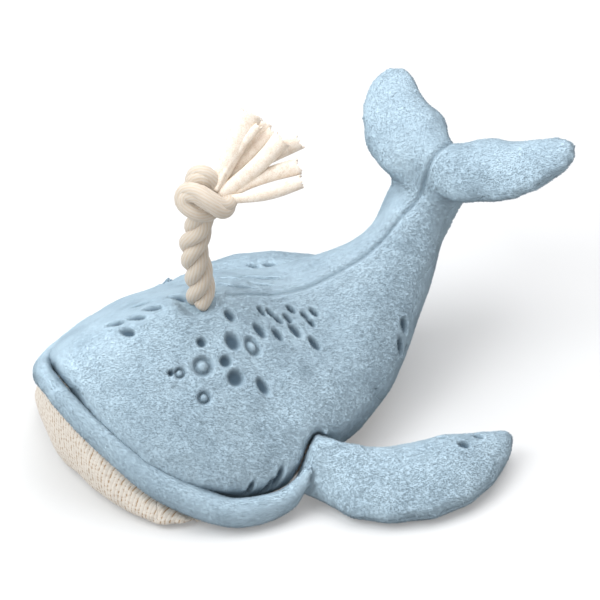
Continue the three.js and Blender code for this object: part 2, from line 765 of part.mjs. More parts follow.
// The round mouth in the back, wide enough for the rope to sway.
function mouthSolid() {
  const radius = ropeRadius / Math.cos(ropeSway) + skinThickness * Math.tan(ropeSway) + runningGap;
  const bottom = pivot.z - 2 * skinThickness;
  const height = headHeight / 2;
  const geometry = new THREE.CylinderGeometry(radius, radius, height, 20);
  geometry.rotateX(Math.PI / 2);
  geometry.translate(pivot.x, pivot.y, bottom + height / 2);
  return solidOf(weld(geometry));
}

// The socket under the mouth, for the rope's round foot.
function socketSolid() {
  const socket = new THREE.SphereGeometry(ropeRadius + runningGap, 16, 10);
  socket.translate(pivot.x, pivot.y, pivot.z);
  return solidOf(weld(socket));
}

const zones = {
  trunk: tailSide(runningGap),
  tail: tailSide(0),
  lip: lipSolid(gap),
  body: bodyForm(skinStartShare, tailEndShare, -gap),
};
const sides = [['left', 1], ['right', -1]];
const pockets = sides.map(([, side]) => rootDrum(side, runningGap));
const below = new THREE.BoxGeometry(2 * bodyLength, 2 * bodyLength, cutOverrun);
below.translate(0, 0, -cutOverrun / 2);
const underFloor = solidOf(weld(below));

// Cuts leave specks behind, so a piece is the largest body that is left.
function largest(solid) {
  return solid.decompose().reduce((most, body) => (body.volume() > most.volume() ? body : most));
}

function without(solid, ...cutters) {
  return largest(cutters.reduce((rest, cutter) => rest.subtract(cutter), solid));
}

function within(solid, ...regions) {
  return largest(regions.reduce((rest, region) => rest.intersect(region), solid));
}

// The largest bodies of a solid, by the size that the key gives, greatest first.
function partsOf(solid, count, key) {
  const bodies = solid.decompose().sort((a, b) => b.volume() - a.volume()).slice(0, count);
  return bodies.sort((a, b) => key(b.boundingBox()) - key(a.boundingBox()));
}

// The dorsal seam: a slit from behind the rope to the end of the trunk.
function dorsalSlit() {
  const rows = steps(dorsalStartShare, trunkEndShare, 10).map((at) => {
    const { ridge } = slice(at);
    return [-1, 1].map((j) => bendPoint(ridge[0], 0, ridge[1] + j * 3 * skinThickness));
  });
  return slab(rows, rows.map(() => new THREE.Vector3(0, gap / 2, 0)));
}

// The seam between back and belly, behind the lip's end.
function flankSlit(side) {
  const frames = steps(lipEndShare - 1, trunkEndShare, 10).map((at) => surfaceFrame(at, bellyEdge(at), side));
  return slit(frames, 'around');
}

// The seam between the jaw's knit and the belly, from lip to lip under the chin.
function chinSlit() {
  const left = steps(0, -1, 8).map((turn) => surfaceFrame(knitSeamShare, turn, 1));
  const rows = left.map(({ point }) => {
    const hub = new THREE.Vector3(point.x, 0, left[0].point.z / 2);
    return chinSlitShares.map((reach) => hub.clone().lerp(point, reach));
  });
  const mirrored = (v) => new THREE.Vector3(v.x, -v.y, v.z);
  const lifts = left.map(({ along }) => along.clone().multiplyScalar(gap / 2));
  return slab(
    [...rows, ...rows.slice(0, -1).reverse().map((row) => row.map(mirrored))],
    [...lifts, ...lifts.slice(0, -1).reverse().map(mirrored)],
  );
}

function trunkPieces() {
  const shared = [zones.lip, zones.trunk, ...pockets];
  const skin = bodyForm(skinStartShare, trunkEndShare, 0)
    .subtract(bodyForm(liningStartShare, trunkEndShare, skinThickness));
  const slits = [dorsalSlit(), flankSlit(1), flankSlit(-1), chinSlit()];
  const cutters = [...shared, mouthSolid(), ...slits, underFloor];
  const cut = cutters.reduce((rest, cutter) => rest.subtract(cutter), skin);
  const [back, ...lower] = partsOf(cut, 3, (box) => box.max[2]);
  const [jaw, belly] = lower.sort((a, b) => b.boundingBox().max[0] - a.boundingBox().max[0]);
  const filling = bodyForm(fillingStartShare, trunkEndShare, skinThickness + gap)
    .subtract(back).subtract(jaw).subtract(belly);
  return {
    back_panel: back,
    jaw_panel: jaw,
    belly_panel: belly,
    body_filling: without(filling, ...shared, anchorHollow(), mouthSolid(), socketSolid()),
    lip_roll: without(lipSolid(0), ...pockets),
    spout_anchor: anchorSolid(),
  };
}

function tailPieces() {
  const skin = tailForm(0, tailEndShare)
    .subtract(tailForm(skinThickness, liningEndShare))
    .intersect(zones.tail);
  const cut = skin.subtract(tailSeamSheet()).subtract(tailRidgeSlit());
  const [under, ...upper] = partsOf(cut, 3, (box) => -box.min[2]);
  const [right, left] = upper.sort((a, b) => a.boundingBox().max[1] - b.boundingBox().max[1]);
  const filling = within(tailForm(skinThickness + gap, fillingEndShare), zones.tail);
  return {
    tail_top_panel_left: left,
    tail_top_panel_right: right,
    tail_under_panel: under,
    tail_filling: without(filling, under, left, right),
  };
}

function turnedAbout(solid, centre, axis, angle) {
  const turn = new THREE.Matrix4().makeTranslation(centre)
    .multiply(new THREE.Matrix4().makeRotationAxis(axis, angle))
    .multiply(new THREE.Matrix4().makeTranslation(centre.clone().negate()));
  return solid.transform(turn.elements);
}

// The space that body and lip take up while the flipper swings outwards about its root.
function sweptBody(side) {
  const [low, high] = rootAxis(side);
  const axis = (side > 0 ? low.clone().sub(high) : high.clone().sub(low)).normalize();
  const solid = zones.body.add(zones.lip).subtract(rootDrum(side, 0));
  const centre = low.clone().add(high).multiplyScalar(0.5);
  return steps(0, flipperSwing, 6).map((angle) => turnedAbout(solid, centre, axis, -angle));
}

// The space that the tail takes up at both ends of its swing.
function sweptTail() {
  const centre = bendPoint(tailHingeX, 0, tailHingeZ);
  const stalk = bodyForm(tailStartShare, tailEndShare, -tailClearance).intersect(zones.tail);
  const axis = new THREE.Vector3(0, 1, 0);
  return [-tailDrop, tailLift].map((angle) => turnedAbout(stalk, centre, axis, angle));
}

function flipperPieces(name, side) {
  const blocked = [...sweptBody(side), ...sweptTail()];
  return {
    [`flipper_${name}_top_panel`]: without(flipperPanel(side, true), ...blocked),
    [`flipper_${name}_under_panel`]: without(flipperPanel(side, false), ...blocked),
    [`flipper_${name}_filling`]: without(flipperForm(side, skinThickness + gap), ...blocked),
  };
}

function spoutPieces() {
  const strips = stripShares.map((shares, i) => [
    `tassel_strip_${i + 1}`,
    without(stripSolid(shares), knotSolid(gap), knotSolid(0)),
  ]);
  return {
    spout_rope: without(ropeSolid(), knotSolid(gap)),
    spout_knot: knotSolid(0),
    ...Object.fromEntries(strips),
  };
}

function build() {
  return {
    ...trunkPieces(),
    ...tailPieces(),
    ...flipperPieces('left', 1),
    ...flipperPieces('right', -1),
    ...spoutPieces(),
  };
}

// Each piece's colour and roughness, by the words in its name.
const plushBlue = new THREE.Color(0x9db9d2);
const knitCream = new THREE.Color(0xf1e8dc);
const cottonCream = new THREE.Color(0xefe5d6);
const fibreWhite = new THREE.Color(0xf6f6f2);

function materialFor(name) {
  let color = plushBlue;
  if (/jaw|belly/.test(name)) color = knitCream;
  if (/spout|tassel/.test(name)) color = cottonCream;
  if (/filling/.test(name)) color = fibreWhite;
  return new THREE.MeshStandardMaterial({ color, roughness: 0.95, metalness: 0 });
}

const whale = new THREE.Group();
const body = new THREE.Box3();
for (const [name, solid] of Object.entries(build())) {
  const mesh = new THREE.Mesh(toGeometry(solid), materialFor(name));
  mesh.name = name;
  whale.add(mesh);
  if (!/spout_rope|spout_knot|tassel/.test(name)) body.expandByObject(mesh);
}
// The origin is on the ground, under the middle of the body without its rope.
const middleOfBody = body.getCenter(new THREE.Vector3());
whale.position.set(-middleOfBody.x, -middleOfBody.y, 0);

export default whale;
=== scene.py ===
"""Dresses a stuffed plush whale: short pile, marled rib knit, a padded lip and a knotted rope spout.

Metres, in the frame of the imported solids: +X to the snout, +Y to the whale's left, +Z up.
"""
import json
import math

import bmesh
import bpy
import numpy as np
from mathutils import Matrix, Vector, noise
from mathutils.bvhtree import BVHTree
from mathutils.kdtree import KDTree


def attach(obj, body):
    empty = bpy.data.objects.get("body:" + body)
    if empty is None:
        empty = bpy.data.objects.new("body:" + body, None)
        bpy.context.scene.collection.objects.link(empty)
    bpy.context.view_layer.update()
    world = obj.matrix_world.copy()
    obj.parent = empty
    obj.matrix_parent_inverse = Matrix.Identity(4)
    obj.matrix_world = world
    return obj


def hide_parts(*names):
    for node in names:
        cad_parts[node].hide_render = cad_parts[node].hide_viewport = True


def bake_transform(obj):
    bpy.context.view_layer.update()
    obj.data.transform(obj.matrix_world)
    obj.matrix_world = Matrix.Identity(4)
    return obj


bl_info = {
    "name": "Plush whale",
    "version": (1, 0, 0),
    "blender": (4, 5, 0),
    "location": "View3D > Sidebar > Whale",
    "description": "Dresses a stuffed plush whale with pile, rib knit, a padded lip and a rope spout",
    "category": "Object",
}

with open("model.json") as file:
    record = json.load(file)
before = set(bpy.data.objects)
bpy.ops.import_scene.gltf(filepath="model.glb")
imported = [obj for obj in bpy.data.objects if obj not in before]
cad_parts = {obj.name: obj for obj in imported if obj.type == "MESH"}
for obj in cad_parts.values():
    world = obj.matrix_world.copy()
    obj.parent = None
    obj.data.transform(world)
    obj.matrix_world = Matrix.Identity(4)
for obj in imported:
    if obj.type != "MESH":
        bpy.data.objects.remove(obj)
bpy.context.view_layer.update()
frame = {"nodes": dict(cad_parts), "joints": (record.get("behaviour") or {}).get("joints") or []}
joint_at = {joint["name"]: Vector(joint["pos_m"]) for joint in frame["joints"]}
mm = 0.001

# How the photograph looks at the whale.
photo_azimuth = math.radians(153)
photo_elevation = math.radians(40)

# The rope's foot, over which the body is laid out.
foot = joint_at["spout_sway"]
ground = Vector((foot.x, foot.y, 0))


def linear(hex_colour):
    """An sRGB hex colour as linear red, green, blue and alpha."""
    shares = [int(hex_colour[i:i + 2], 16) / 255 for i in (1, 3, 5)]
    return [c / 12.92 if c <= 0.04045 else ((c + 0.055) / 1.055) ** 2.4 for c in shares] + [1.0]


# Sizes and colours that a user would change.

def length(name, description, default):
    """A length that the sidebar shows."""
    return bpy.props.FloatProperty(name=name, description=description, default=default,
                                   unit="LENGTH", subtype="DISTANCE", precision=5)


def share(name, description, default):
    """A share from nought upwards that the sidebar shows."""
    return bpy.props.FloatProperty(name=name, description=description, default=default,
                                   min=0, subtype="FACTOR")


def colour(name, description, hex_colour):
    """A colour that the sidebar shows."""
    return bpy.props.FloatVectorProperty(name=name, description=description, subtype="COLOR", size=4,
                                         default=linear(hex_colour))


def bearing(name, description, default):
    """An angle that the sidebar shows."""
    return bpy.props.FloatProperty(name=name, description=description, default=default,
                                   unit="ROTATION", subtype="ANGLE")


class WhaleSkinSizes(bpy.types.PropertyGroup):
    """Sizes of the sewn skins and their pile."""
    voxel: length("Grain", "Size of the first quads of a skin", 3.5 * mm)
    thickness: length("Thickness", "Thickness of the cloth", 2 * mm)
    seam_depth: length("Seam depth", "How far a seam draws in", 1.5 * mm)
    seam_width: length("Seam width", "How wide a seam's valley is", 2.6 * mm)
    pressure: bpy.props.FloatProperty(name="Pressure", description="Pressure of the filling", default=4)
    swell: length("Swell", "How far the filling may push a skin out", 1.5 * mm)
    lump: length("Lumps", "How far the filling's lumps stand out", 0.7 * mm)
    pile_length: length("Pile length", "Length of a tuft of pile", 0.85 * mm)
    pile_width: length("Pile width", "Width of a tuft of pile", 0.4 * mm)
    pile_spacing: length("Pile spacing", "Distance between tufts", 0.65 * mm)
    pile_lean: share("Pile lean", "How far the pile lies down along the nap", 1.2)


class WhaleRopeSizes(bpy.types.PropertyGroup):
    """Sizes of the rope spout."""
    diameter: length("Diameter", "Diameter of the rope", 15.6 * mm)
    knot_diameter: length("Knot diameter", "Diameter of the rope where the knot pulls it tight", 11.4 * mm)
    lay: length("Lay", "Length of one turn of a strand", 36 * mm)
    knot_lay: length("Knot lay", "Length of one turn where the knot pulls the strands straight", 90 * mm)
    strip_length: length("Strip length", "Length of a tassel strip", 45 * mm)
    strip_width: length("Strip width", "Width of the jersey of a tassel strip, laid flat", 13 * mm)
    strip_thickness: length("Strip thickness", "Thickness of the jersey", 1.2 * mm)
    bundle: length("Bundle", "Width of the strips' bundle at the knot", 10 * mm)


class WhaleColours(bpy.types.PropertyGroup):
    """Colours of the whale's cloths."""
    plush: colour("Plush", "Pile seen from the side", "#AEC4D2")
    # The pile's tips are painted paler and its roots darker, as light on the tips and shade among the roots;
    # these colours also bound the pile's random tone.
    plush_tip: colour("Plush tips", "Tips of the pile", "#BFD5E2")
    plush_root: colour("Plush roots", "Roots of the pile", "#95AAB8")
    # The pressed plush colour also stands for painted shade in seams, folds and under the lip.
    plush_press_shade: colour("Pressed plush", "Places that are pressed flat or sewn down", "#4A5C6A")
    knit: colour("Knit", "Light yarn of the rib knit", "#DED6CB")
    knit_fleck: colour("Knit fleck", "Darker yarn of the marled knit", "#A98C6E")
    rope: colour("Rope", "Cotton of the rope", "#CEC4B8")
    rope_shade: colour("Rope shade", "Cotton between the yarns", "#C6B49D")
    jersey: colour("Jersey", "Cut jersey strips", "#F4EADE")
    jersey_shade: colour("Jersey shade", "Loops of the jersey that lie deep", "#DCC9B4")
    filling: colour("Filling", "Polyester fibre", "#F4F4F0")


class WhaleView(bpy.types.PropertyGroup):
    """Where the camera stands."""
    azimuth: bearing("Azimuth", "Turn round the whale", photo_azimuth)
    elevation: bearing("Elevation", "Height over the horizon", photo_elevation)
    distance: length("Distance", "Distance from the camera to the whale", 12)
    width: length("Width", "Width of the picture at the whale", 312 * mm)


# The photograph's frame, for marks that are placed by its pixels: its width, and where it shows the
# point just above the rope's foot.
photo_size = 600
foot_pixel = (201, 298)
foot_pixel_rise = 2 * mm


def view_axes(view):
    """The camera's right, up and back directions."""
    a, e = view.azimuth, view.elevation
    right = Vector((math.cos(a), math.sin(a), 0))
    back = Vector((math.sin(a) * math.cos(e), -math.cos(a) * math.cos(e), math.sin(e)))
    return right, back.cross(right), back


def view_place(view, x, y):
    """The point that a pixel shows in the plane across the view through the rope's foot."""
    right, up, _ = view_axes(view)
    scale = view.width / photo_size
    middle = foot + Vector((0, 0, foot_pixel_rise))
    return middle + right * (x - foot_pixel[0]) * scale + up * (foot_pixel[1] - y) * scale


def camera_place(view):
    """Where the camera is."""
    return view_place(view, photo_size / 2, photo_size / 2) + view_axes(view)[2] * view.distance


# Meshes as rows of numbers.

def read(items, key, kind, width=1):
    """One value, or one row of values, of each of a mesh's items."""
    values = np.empty(len(items) * width, kind)
    items.foreach_get(key, values)
    return values.reshape(-1, width) if width > 1 else values


def coordinates(mesh):
    """The vertices of a mesh, one row each."""
    return read(mesh.vertices, "co", np.float32, 3).astype(float)


def corners(mesh):
    """The faces of a mesh of quads, one row each."""
    return read(mesh.loops, "vertex_index", np.int32).reshape(-1, 4)


def placed(name, data):
    """An object with its data, linked to the scene."""
    obj = bpy.data.objects.new(name, data)
    bpy.context.scene.collection.objects.link(obj)
    return obj


def mesh_object(name, co, faces):
    """A smooth mesh object, linked to the scene."""
    mesh = bpy.data.meshes.new(name)
    mesh.from_pydata(np.asarray(co).tolist(), [], faces if isinstance(faces, list) else faces.tolist())
    mesh.shade_smooth()
    return placed(name, mesh)


def baked(obj):
    """A plain mesh of an object with its modifiers."""
    bpy.context.view_layer.update()
    return bpy.data.meshes.new_from_object(obj.evaluated_get(bpy.context.evaluated_depsgraph_get()))


def taken(obj):
    """Bakes an object, removes it and gives its quads."""
    mesh = baked(obj)
    bpy.data.objects.remove(obj)
    return coordinates(mesh), corners(mesh)


def remeshed(names, voxel):
    """One mesh of quads round the named solids."""
    work = bmesh.new()
    for name in names:
        work.from_mesh(frame["nodes"][name].data)
    bmesh.ops.remove_doubles(work, verts=work.verts, dist=mm / 1000)
    mesh = bpy.data.meshes.new("work")
    work.to_mesh(mesh)
    work.free()
    obj = placed("work", mesh)
    remesh = obj.modifiers.new("Remesh", "REMESH")
    remesh.mode = "VOXEL"
    remesh.voxel_size = voxel
    return largest_shell(*taken(obj))


def subdivided(co, quads, levels):
    """The quads after rounds of smooth subdivision."""
    obj = mesh_object("work", co, quads)
    modifier = obj.modifiers.new("Subdivision", "SUBSURF")
    modifier.levels = levels
    modifier.render_levels = levels
    return taken(obj)


def sides_of(quads):
    """The first side of every quad, then the second and so on, as pairs of vertices."""
    return np.concatenate([quads[:, [k, (k + 1) % 4]] for k in range(4)])


def edge_pairs(quads):
    """Each edge of the quads once, as a pair of vertices."""
    return np.unique(np.sort(sides_of(quads), 1), axis=0)


def largest_shell(co, quads):
    """The connected skin with the most vertices."""
    pairs = edge_pairs(quads)
    label = np.arange(len(co))
    settled = False
    while not settled:
        before = label.copy()
        low = np.minimum(label[pairs[:, 0]], label[pairs[:, 1]])
        np.minimum.at(label, pairs[:, 0], low)
        np.minimum.at(label, pairs[:, 1], low)
        label = label[label]
        settled = (label == before).all()
    keep = label == np.bincount(label).argmax()
    number = np.cumsum(keep) - 1
    return co[keep], number[quads[keep[quads[:, 0]]]]


def pulled(co, pairs, strength):
    """Moves each point towards the mean of its neighbours."""
    a, b = pairs.T
    count = np.maximum(np.bincount(pairs.ravel(), minlength=len(co)), 1)
    total = np.stack([np.bincount(a, co[b, k], len(co)) + np.bincount(b, co[a, k], len(co))
                      for k in range(3)], 1)
    return co + strength * (total / count[:, None] - co)


# Each point is pulled towards its neighbours, then pushed back a little more, which keeps the volume.
fair_pull = 0.5
fair_push = 0.52


def faired(co, quads, rounds):
    """Takes out facets and keeps the volume."""
    pairs = edge_pairs(quads)
    for _ in range(rounds):
        co = pulled(co, pairs, fair_pull)
        co = pulled(co, pairs, -fair_push)
    return co


def eased(value, start, end):
    """Nought before the start, one past the end and smooth between."""
    t = np.clip((value - start) / (end - start), 0, 1)
    return t * t * (3 - 2 * t)


def bell(distance, width):
    """One at no distance, and soft towards nought at more than the width."""
    return np.exp(-(distance / width) ** 2)


# How far a skin stays above the ground.
ground_gap = 0.3 * mm


def above_ground(co):
    """Keeps a skin from dipping into the ground."""
    co[:, 2] = np.maximum(co[:, 2], ground_gap)
    return co


def normals_of(co, quads):
    """The outward direction at each point."""
    a, b, c, d = (co[quads[:, k]] for k in range(4))
    flat = np.cross(c - a, d - b)
    total = np.stack([sum(np.bincount(quads[:, k], flat[:, axis], len(co)) for k in range(4))
                      for axis in range(3)], 1)
    return total / np.maximum(np.linalg.norm(total, axis=1, keepdims=True), 1e-12)


def tree_of(co, quads):
    """A search tree of a skin."""
    return BVHTree.FromPolygons(co.tolist(), quads.tolist())


def points_tree(points):
    """A search tree of points."""
    tree = KDTree(len(points))
    for i, point in enumerate(points):
        tree.insert(point, i)
    tree.balance()
    return tree


def distances(points, lines):
    """The distance from each point to the nearest point of some lines."""
    tree = points_tree(lines)
    return np.array([tree.find(point)[2] for point in points])


# The filling's lumps, and smaller ones on them: their size and their share of the height.
lump_sizes = [(26 * mm, 1), (9 * mm, 0.35)]


def lumpy(co, quads, amount, seed):
    """Raises and sinks a skin a little, as lumps of filling do."""
    start = Vector((seed, seed, seed)) * 10
    rise = [sum(part * noise.noise(start + Vector(p) / size) for size, part in lump_sizes) for p in co]
    return co + normals_of(co, quads) * (np.array(rise) * amount)[:, None]


def solids_tree(names):
    """A search tree of the named solids' faces, and the number of the solid that each face is of."""
    verts, faces, owner = [], [], []
    for number, name in enumerate(names):
        mesh = frame["nodes"][name].data
        base = len(verts)
        verts += [v.co.copy() for v in mesh.vertices]
        for face in mesh.polygons:
            faces.append([base + i for i in face.vertices])
            owner.append(number)
    return BVHTree.FromPolygons(verts, faces), owner


def gap_to(co, names):
    """The distance from each point to the named solids."""
    tree, _ = solids_tree(names)
    return np.array([tree.find_nearest(point)[3] for point in co])


# The frames in which the cloth swells.
cloth_frames = 20


def stuffed(co, quads, sizes):
    """Blows a skin up with cloth pressure, no further than the swell."""
    obj = mesh_object("work", co, quads)
    cloth = obj.modifiers.new("Cloth", "CLOTH")
    cloth.settings.use_pressure = True
    cloth.settings.uniform_pressure_force = sizes.pressure
    cloth.settings.effector_weights.gravity = 0
    cloth.collision_settings.use_collision = False
    scene = bpy.context.scene
    for number in range(1, cloth_frames + 1):
        scene.frame_set(number)
    after, _ = taken(obj)
    scene.frame_set(1)
    move = after - co
    far = np.linalg.norm(move, axis=1, keepdims=True)
    return co + move * np.minimum(1, sizes.swell / np.maximum(far, 1e-9))


# Sewn skins.

def nearest_node(points, names):
    """For each point, the number of the named solid that lies nearest."""
    tree, owner = solids_tree(names)
    return np.array([owner[tree.find_nearest(point)[2]] for point in points])


def seam_pairs(quads, panel):
    """The edges between faces of different panels."""
    pairs = np.sort(sides_of(quads), 1)
    face = np.tile(np.arange(len(quads)), 4)
    order = np.lexsort((pairs[:, 1], pairs[:, 0]))
    pairs, face = pairs[order], face[order]
    same = (pairs[1:] == pairs[:-1]).all(1)
    return pairs[:-1][same & (panel[face[:-1]] != panel[face[1:]])]


# Smoothing of a seam along itself, and of the skin beside it: rounds and how far each round pulls.
seam_rounds = 30
seam_pull = 0.5
beside_rounds = 6
beside_pull = 0.4


def seams_straightened(co, quads, seams):
    """Smooths the seam lines along themselves, and keeps every point on the skin."""
    if len(seams) == 0:
        return co
    tree = tree_of(co, quads)
    count = np.bincount(seams.ravel(), minlength=len(co))
    on_seam = count > 0
    free = count == 2
    for _ in range(seam_rounds):
        co = np.where(free[:, None], pulled(co, seams, seam_pull), co)
    pairs = edge_pairs(quads)
    for _ in range(beside_rounds):
        co = np.where(on_seam[:, None], co, pulled(co, pairs, beside_pull))
    return np.array([tree.find_nearest(point)[0] for point in co])


def shell_object(name, co, quads, thickness, press_shade):
    """A closed panel: its outer faces, inner faces and rim."""
    used = np.unique(quads)
    number = np.full(len(co), -1)
    number[used] = np.arange(len(used))
    outer = number[quads]
    normal = normals_of(co, quads)[used]
    outside = co[used]
    inside = outside - normal * thickness
    base = len(used)
    keys = {tuple(pair) for pair in sides_of(outer).tolist()}
    rim = [[b, a, a + base, b + base] for a, b in keys if (b, a) not in keys]
    faces = outer.tolist() + (outer[:, ::-1] + base).tolist() + rim
    obj = mesh_object(name, np.concatenate([outside, inside]), faces)
    face_side = obj.data.attributes.new("outer", "BOOLEAN", "FACE")
    face_side.data.foreach_set("value", [True] * len(outer) + [False] * (len(faces) - len(outer)))
    # How far each point takes the pressed colour: the marks pressed into the pile, and painted shade in
    # seams, folds and under the lip.
    press_shade_layer = obj.data.attributes.new("press_shade", "FLOAT", "POINT")
    press_shade_layer.data.foreach_set("value", np.concatenate([press_shade[used], press_shade[used]]).astype(np.float32))
    return obj


# Marks pressed into the pile, by the photograph's pixels: kind, x, y, size across, size along and turn.
marks = [
    ("ring", 180, 373, 10, 10, 0), ("dot", 171, 373, 6, 6, 0), ("ring", 203.5, 366, 18, 18, 0),
    ("dot", 202, 342, 9, 9, 0), ("disc", 226, 361, 11, 11, 0), ("disc", 233, 341, 13, 17, -20),
    ("disc", 236, 378, 15, 15, 0), ("ring", 253, 346, 12, 18, -20), ("ring", 204.5, 397.5, 12, 12, 0),
    ("dot", 263, 386, 9, 17, -30), ("dot", 230, 315, 8, 12, -30), ("dot", 262, 311, 5, 10, -40),
    ("dot", 271, 313, 5, 10, -40), ("dot", 278, 319, 5, 10, -40), ("dot", 291, 309, 5, 10, -40),
    ("dot", 288, 318, 5, 10, -40), ("dot", 295, 330, 7, 15, -30), ("dot", 278, 334, 7, 13, -30),
    ("dot", 260, 330, 8, 15, -30), ("dot", 314, 312, 5, 10, -40), ("dot", 305, 315, 5, 10, -40),
    ("dot", 311, 322, 5, 10, -40), ("dot", 314.5, 343, 7, 14, -30), ("dot", 405, 326, 7, 13, -20),
    ("dot", 401, 347, 7, 14, -20), ("dot", 405, 353, 6, 12, -20), ("dot", 178, 297, 7, 14, -60),
    ("dot", 236, 286, 7, 16, -60), ("dot", 246, 286, 7, 16, -60), ("dot", 260, 284, 7, 16, -60),
    ("dot", 229, 278, 7, 16, -60), ("dot", 253, 277, 7, 16, -60), ("dot", 269, 278, 7, 16, -60),
    ("dot", 142, 304, 7, 14, -60), ("dot", 136, 317, 7, 14, -60), ("dot", 127, 332, 7, 14, -60),
    ("dot", 115, 323, 7, 14, -60), ("dot", 152, 308, 7, 14, -60), ("dot", 217, 284, 7, 14, -50),
    # Gathers where the corner of the mouth pinches the head, dented and painted dark as shade in their folds.
    ("dot", 279, 479, 6, 20, 10), ("dot", 268, 487, 5, 15, 15), ("dot", 250, 490, 5, 13, 10),
]
flipper_marks = [
    ("dot", 447, 431, 6, 9, -60), ("dot", 464, 444, 7, 9, -60), ("dot", 478, 436, 5, 8, -60),
    ("dot", 441, 437, 5, 7, -60), ("dot", 253, 266, 5, 9, -60), ("dot", 270, 265, 6, 10, -60),
]
mark_depth = 2.6 * mm
# A mark is drawn a little wider than it shows, and a ring's groove lies at a share of its radius.
mark_spread = 1.1
ring_radius = 0.75
ring_width = 0.3
# On a slope a mark is larger than it looks, down to this share of a full view.
least_slope = 0.6
mark_shades = {"ring": 0.65, "dot": 1.0, "disc": 1.0}


def marked(co, quads, view, list_of_marks):
    """Presses marks into a skin, and gives how dark each point is drawn: the marks' own darkening, and
    painted shade where the marks are gathers.
    """
    tree = tree_of(co, quads)
    normal = normals_of(co, quads)
    finder = points_tree(co)
    eye = camera_place(view)
    scale = view.width / photo_size
    right, up, back = view_axes(view)
    depth = np.zeros(len(co))
    press_shade = np.zeros(len(co))
    for kind, x, y, wide, tall, turn in list_of_marks:
        hit, facing, _, _ = tree.ray_cast(eye, view_place(view, x, y) - eye)
        if hit is None:
            continue
        angle = math.radians(turn)
        along = up * math.cos(angle) + right * math.sin(angle)
        along = (along - facing * along.dot(facing)).normalized()
        across = facing.cross(along)
        slope = math.sqrt(max(least_slope, facing.dot(back)))
        half_wide, half_tall = (size * mark_spread * scale / slope / 2 for size in (wide, tall))
        for place, i, _ in finder.find_range(hit, 2 * max(half_wide, half_tall)):
            offset = place - hit
            r = math.hypot(offset.dot(across) / half_wide, offset.dot(along) / half_tall)
            dent = math.exp(-((r - ring_radius) / ring_width) ** 2) if kind == "ring" else math.exp(-r ** 6)
            depth[i] = max(depth[i], dent)
            press_shade[i] = max(press_shade[i], dent * mark_shades[kind])
    return co - normal * (depth * mark_depth)[:, None], press_shade


def spine_side(x):
    """How far the spine lies to the whale's left of its middle at a length along the body."""
    start, reach, bend, power = -60 * mm, 103 * mm, 29 * mm, 1.75
    t = np.clip((start - x) / reach, 0, None)
    return -bend * t ** power


# How far the stuffed snout stands back, and where ahead of the rope that starts and is full.
snout_back = 3 * mm
snout_start = 55 * mm
head_reach = 91 * mm


def snout_drawn_in(co):
    """Draws the snout back, as its seams do."""
    ahead = eased(co[:, 0] - ground.x, snout_start, head_reach)
    return co - np.outer(ahead, [snout_back, 0, 0])


# Where the dorsal seam starts behind the rope, and the widths of its valley and of its dark line.
dorsal_start = 16 * mm
dorsal_valley = 1.7 * mm
dorsal_line = 1.3 * mm


def dorsal_distance(co):
    """The distance to the dorsal seam, which runs from behind the rope to the notch."""
    x = co[:, 0] - ground.x
    beside = np.abs(co[:, 1] - ground.y - spine_side(x))
    ahead = np.clip(x + dorsal_start, 0, None)
    return np.hypot(beside, ahead)


# Materials.

def add(tree, kind, inputs=None, **settings):
    """Adds a node with its settings; an input is a value or another node's socket."""
    made = tree.nodes.new(kind)
    for key, value in settings.items():
        setattr(made, key, value)
    for key, value in (inputs or {}).items():
        if isinstance(value, bpy.types.NodeSocket):
            tree.links.new(value, made.inputs[key])
        else:
            made.inputs[key].default_value = value
    return made


def emptied(block):
    """The node tree of a new material or world, with nothing in it."""
    block.use_nodes = True
    block.node_tree.nodes.clear()
    return block.node_tree


def cloth_material(name, **constants):
    """An empty cloth material, its node tree and its shader."""
    material = bpy.data.materials.new(name)
    tree = emptied(material)
    shader = add(tree, "ShaderNodeBsdfPrincipled", {
        "Roughness": 0.95, "Specular IOR Level": 0.15, **constants})
    add(tree, "ShaderNodeOutputMaterial", {"Surface": shader.outputs[0]})
    return material, tree, shader


# In the pile: how far a tuft's own shape turns the light, how much tufts differ, how much paler a tip is
# painted than a root, as painted light on the tips and shade at the roots, and how much darker all of it is
# drawn.
own_normal = 0.1
tuft_tint = 0.06
painted_tip_light = 0.12
pile_darker = 0.09


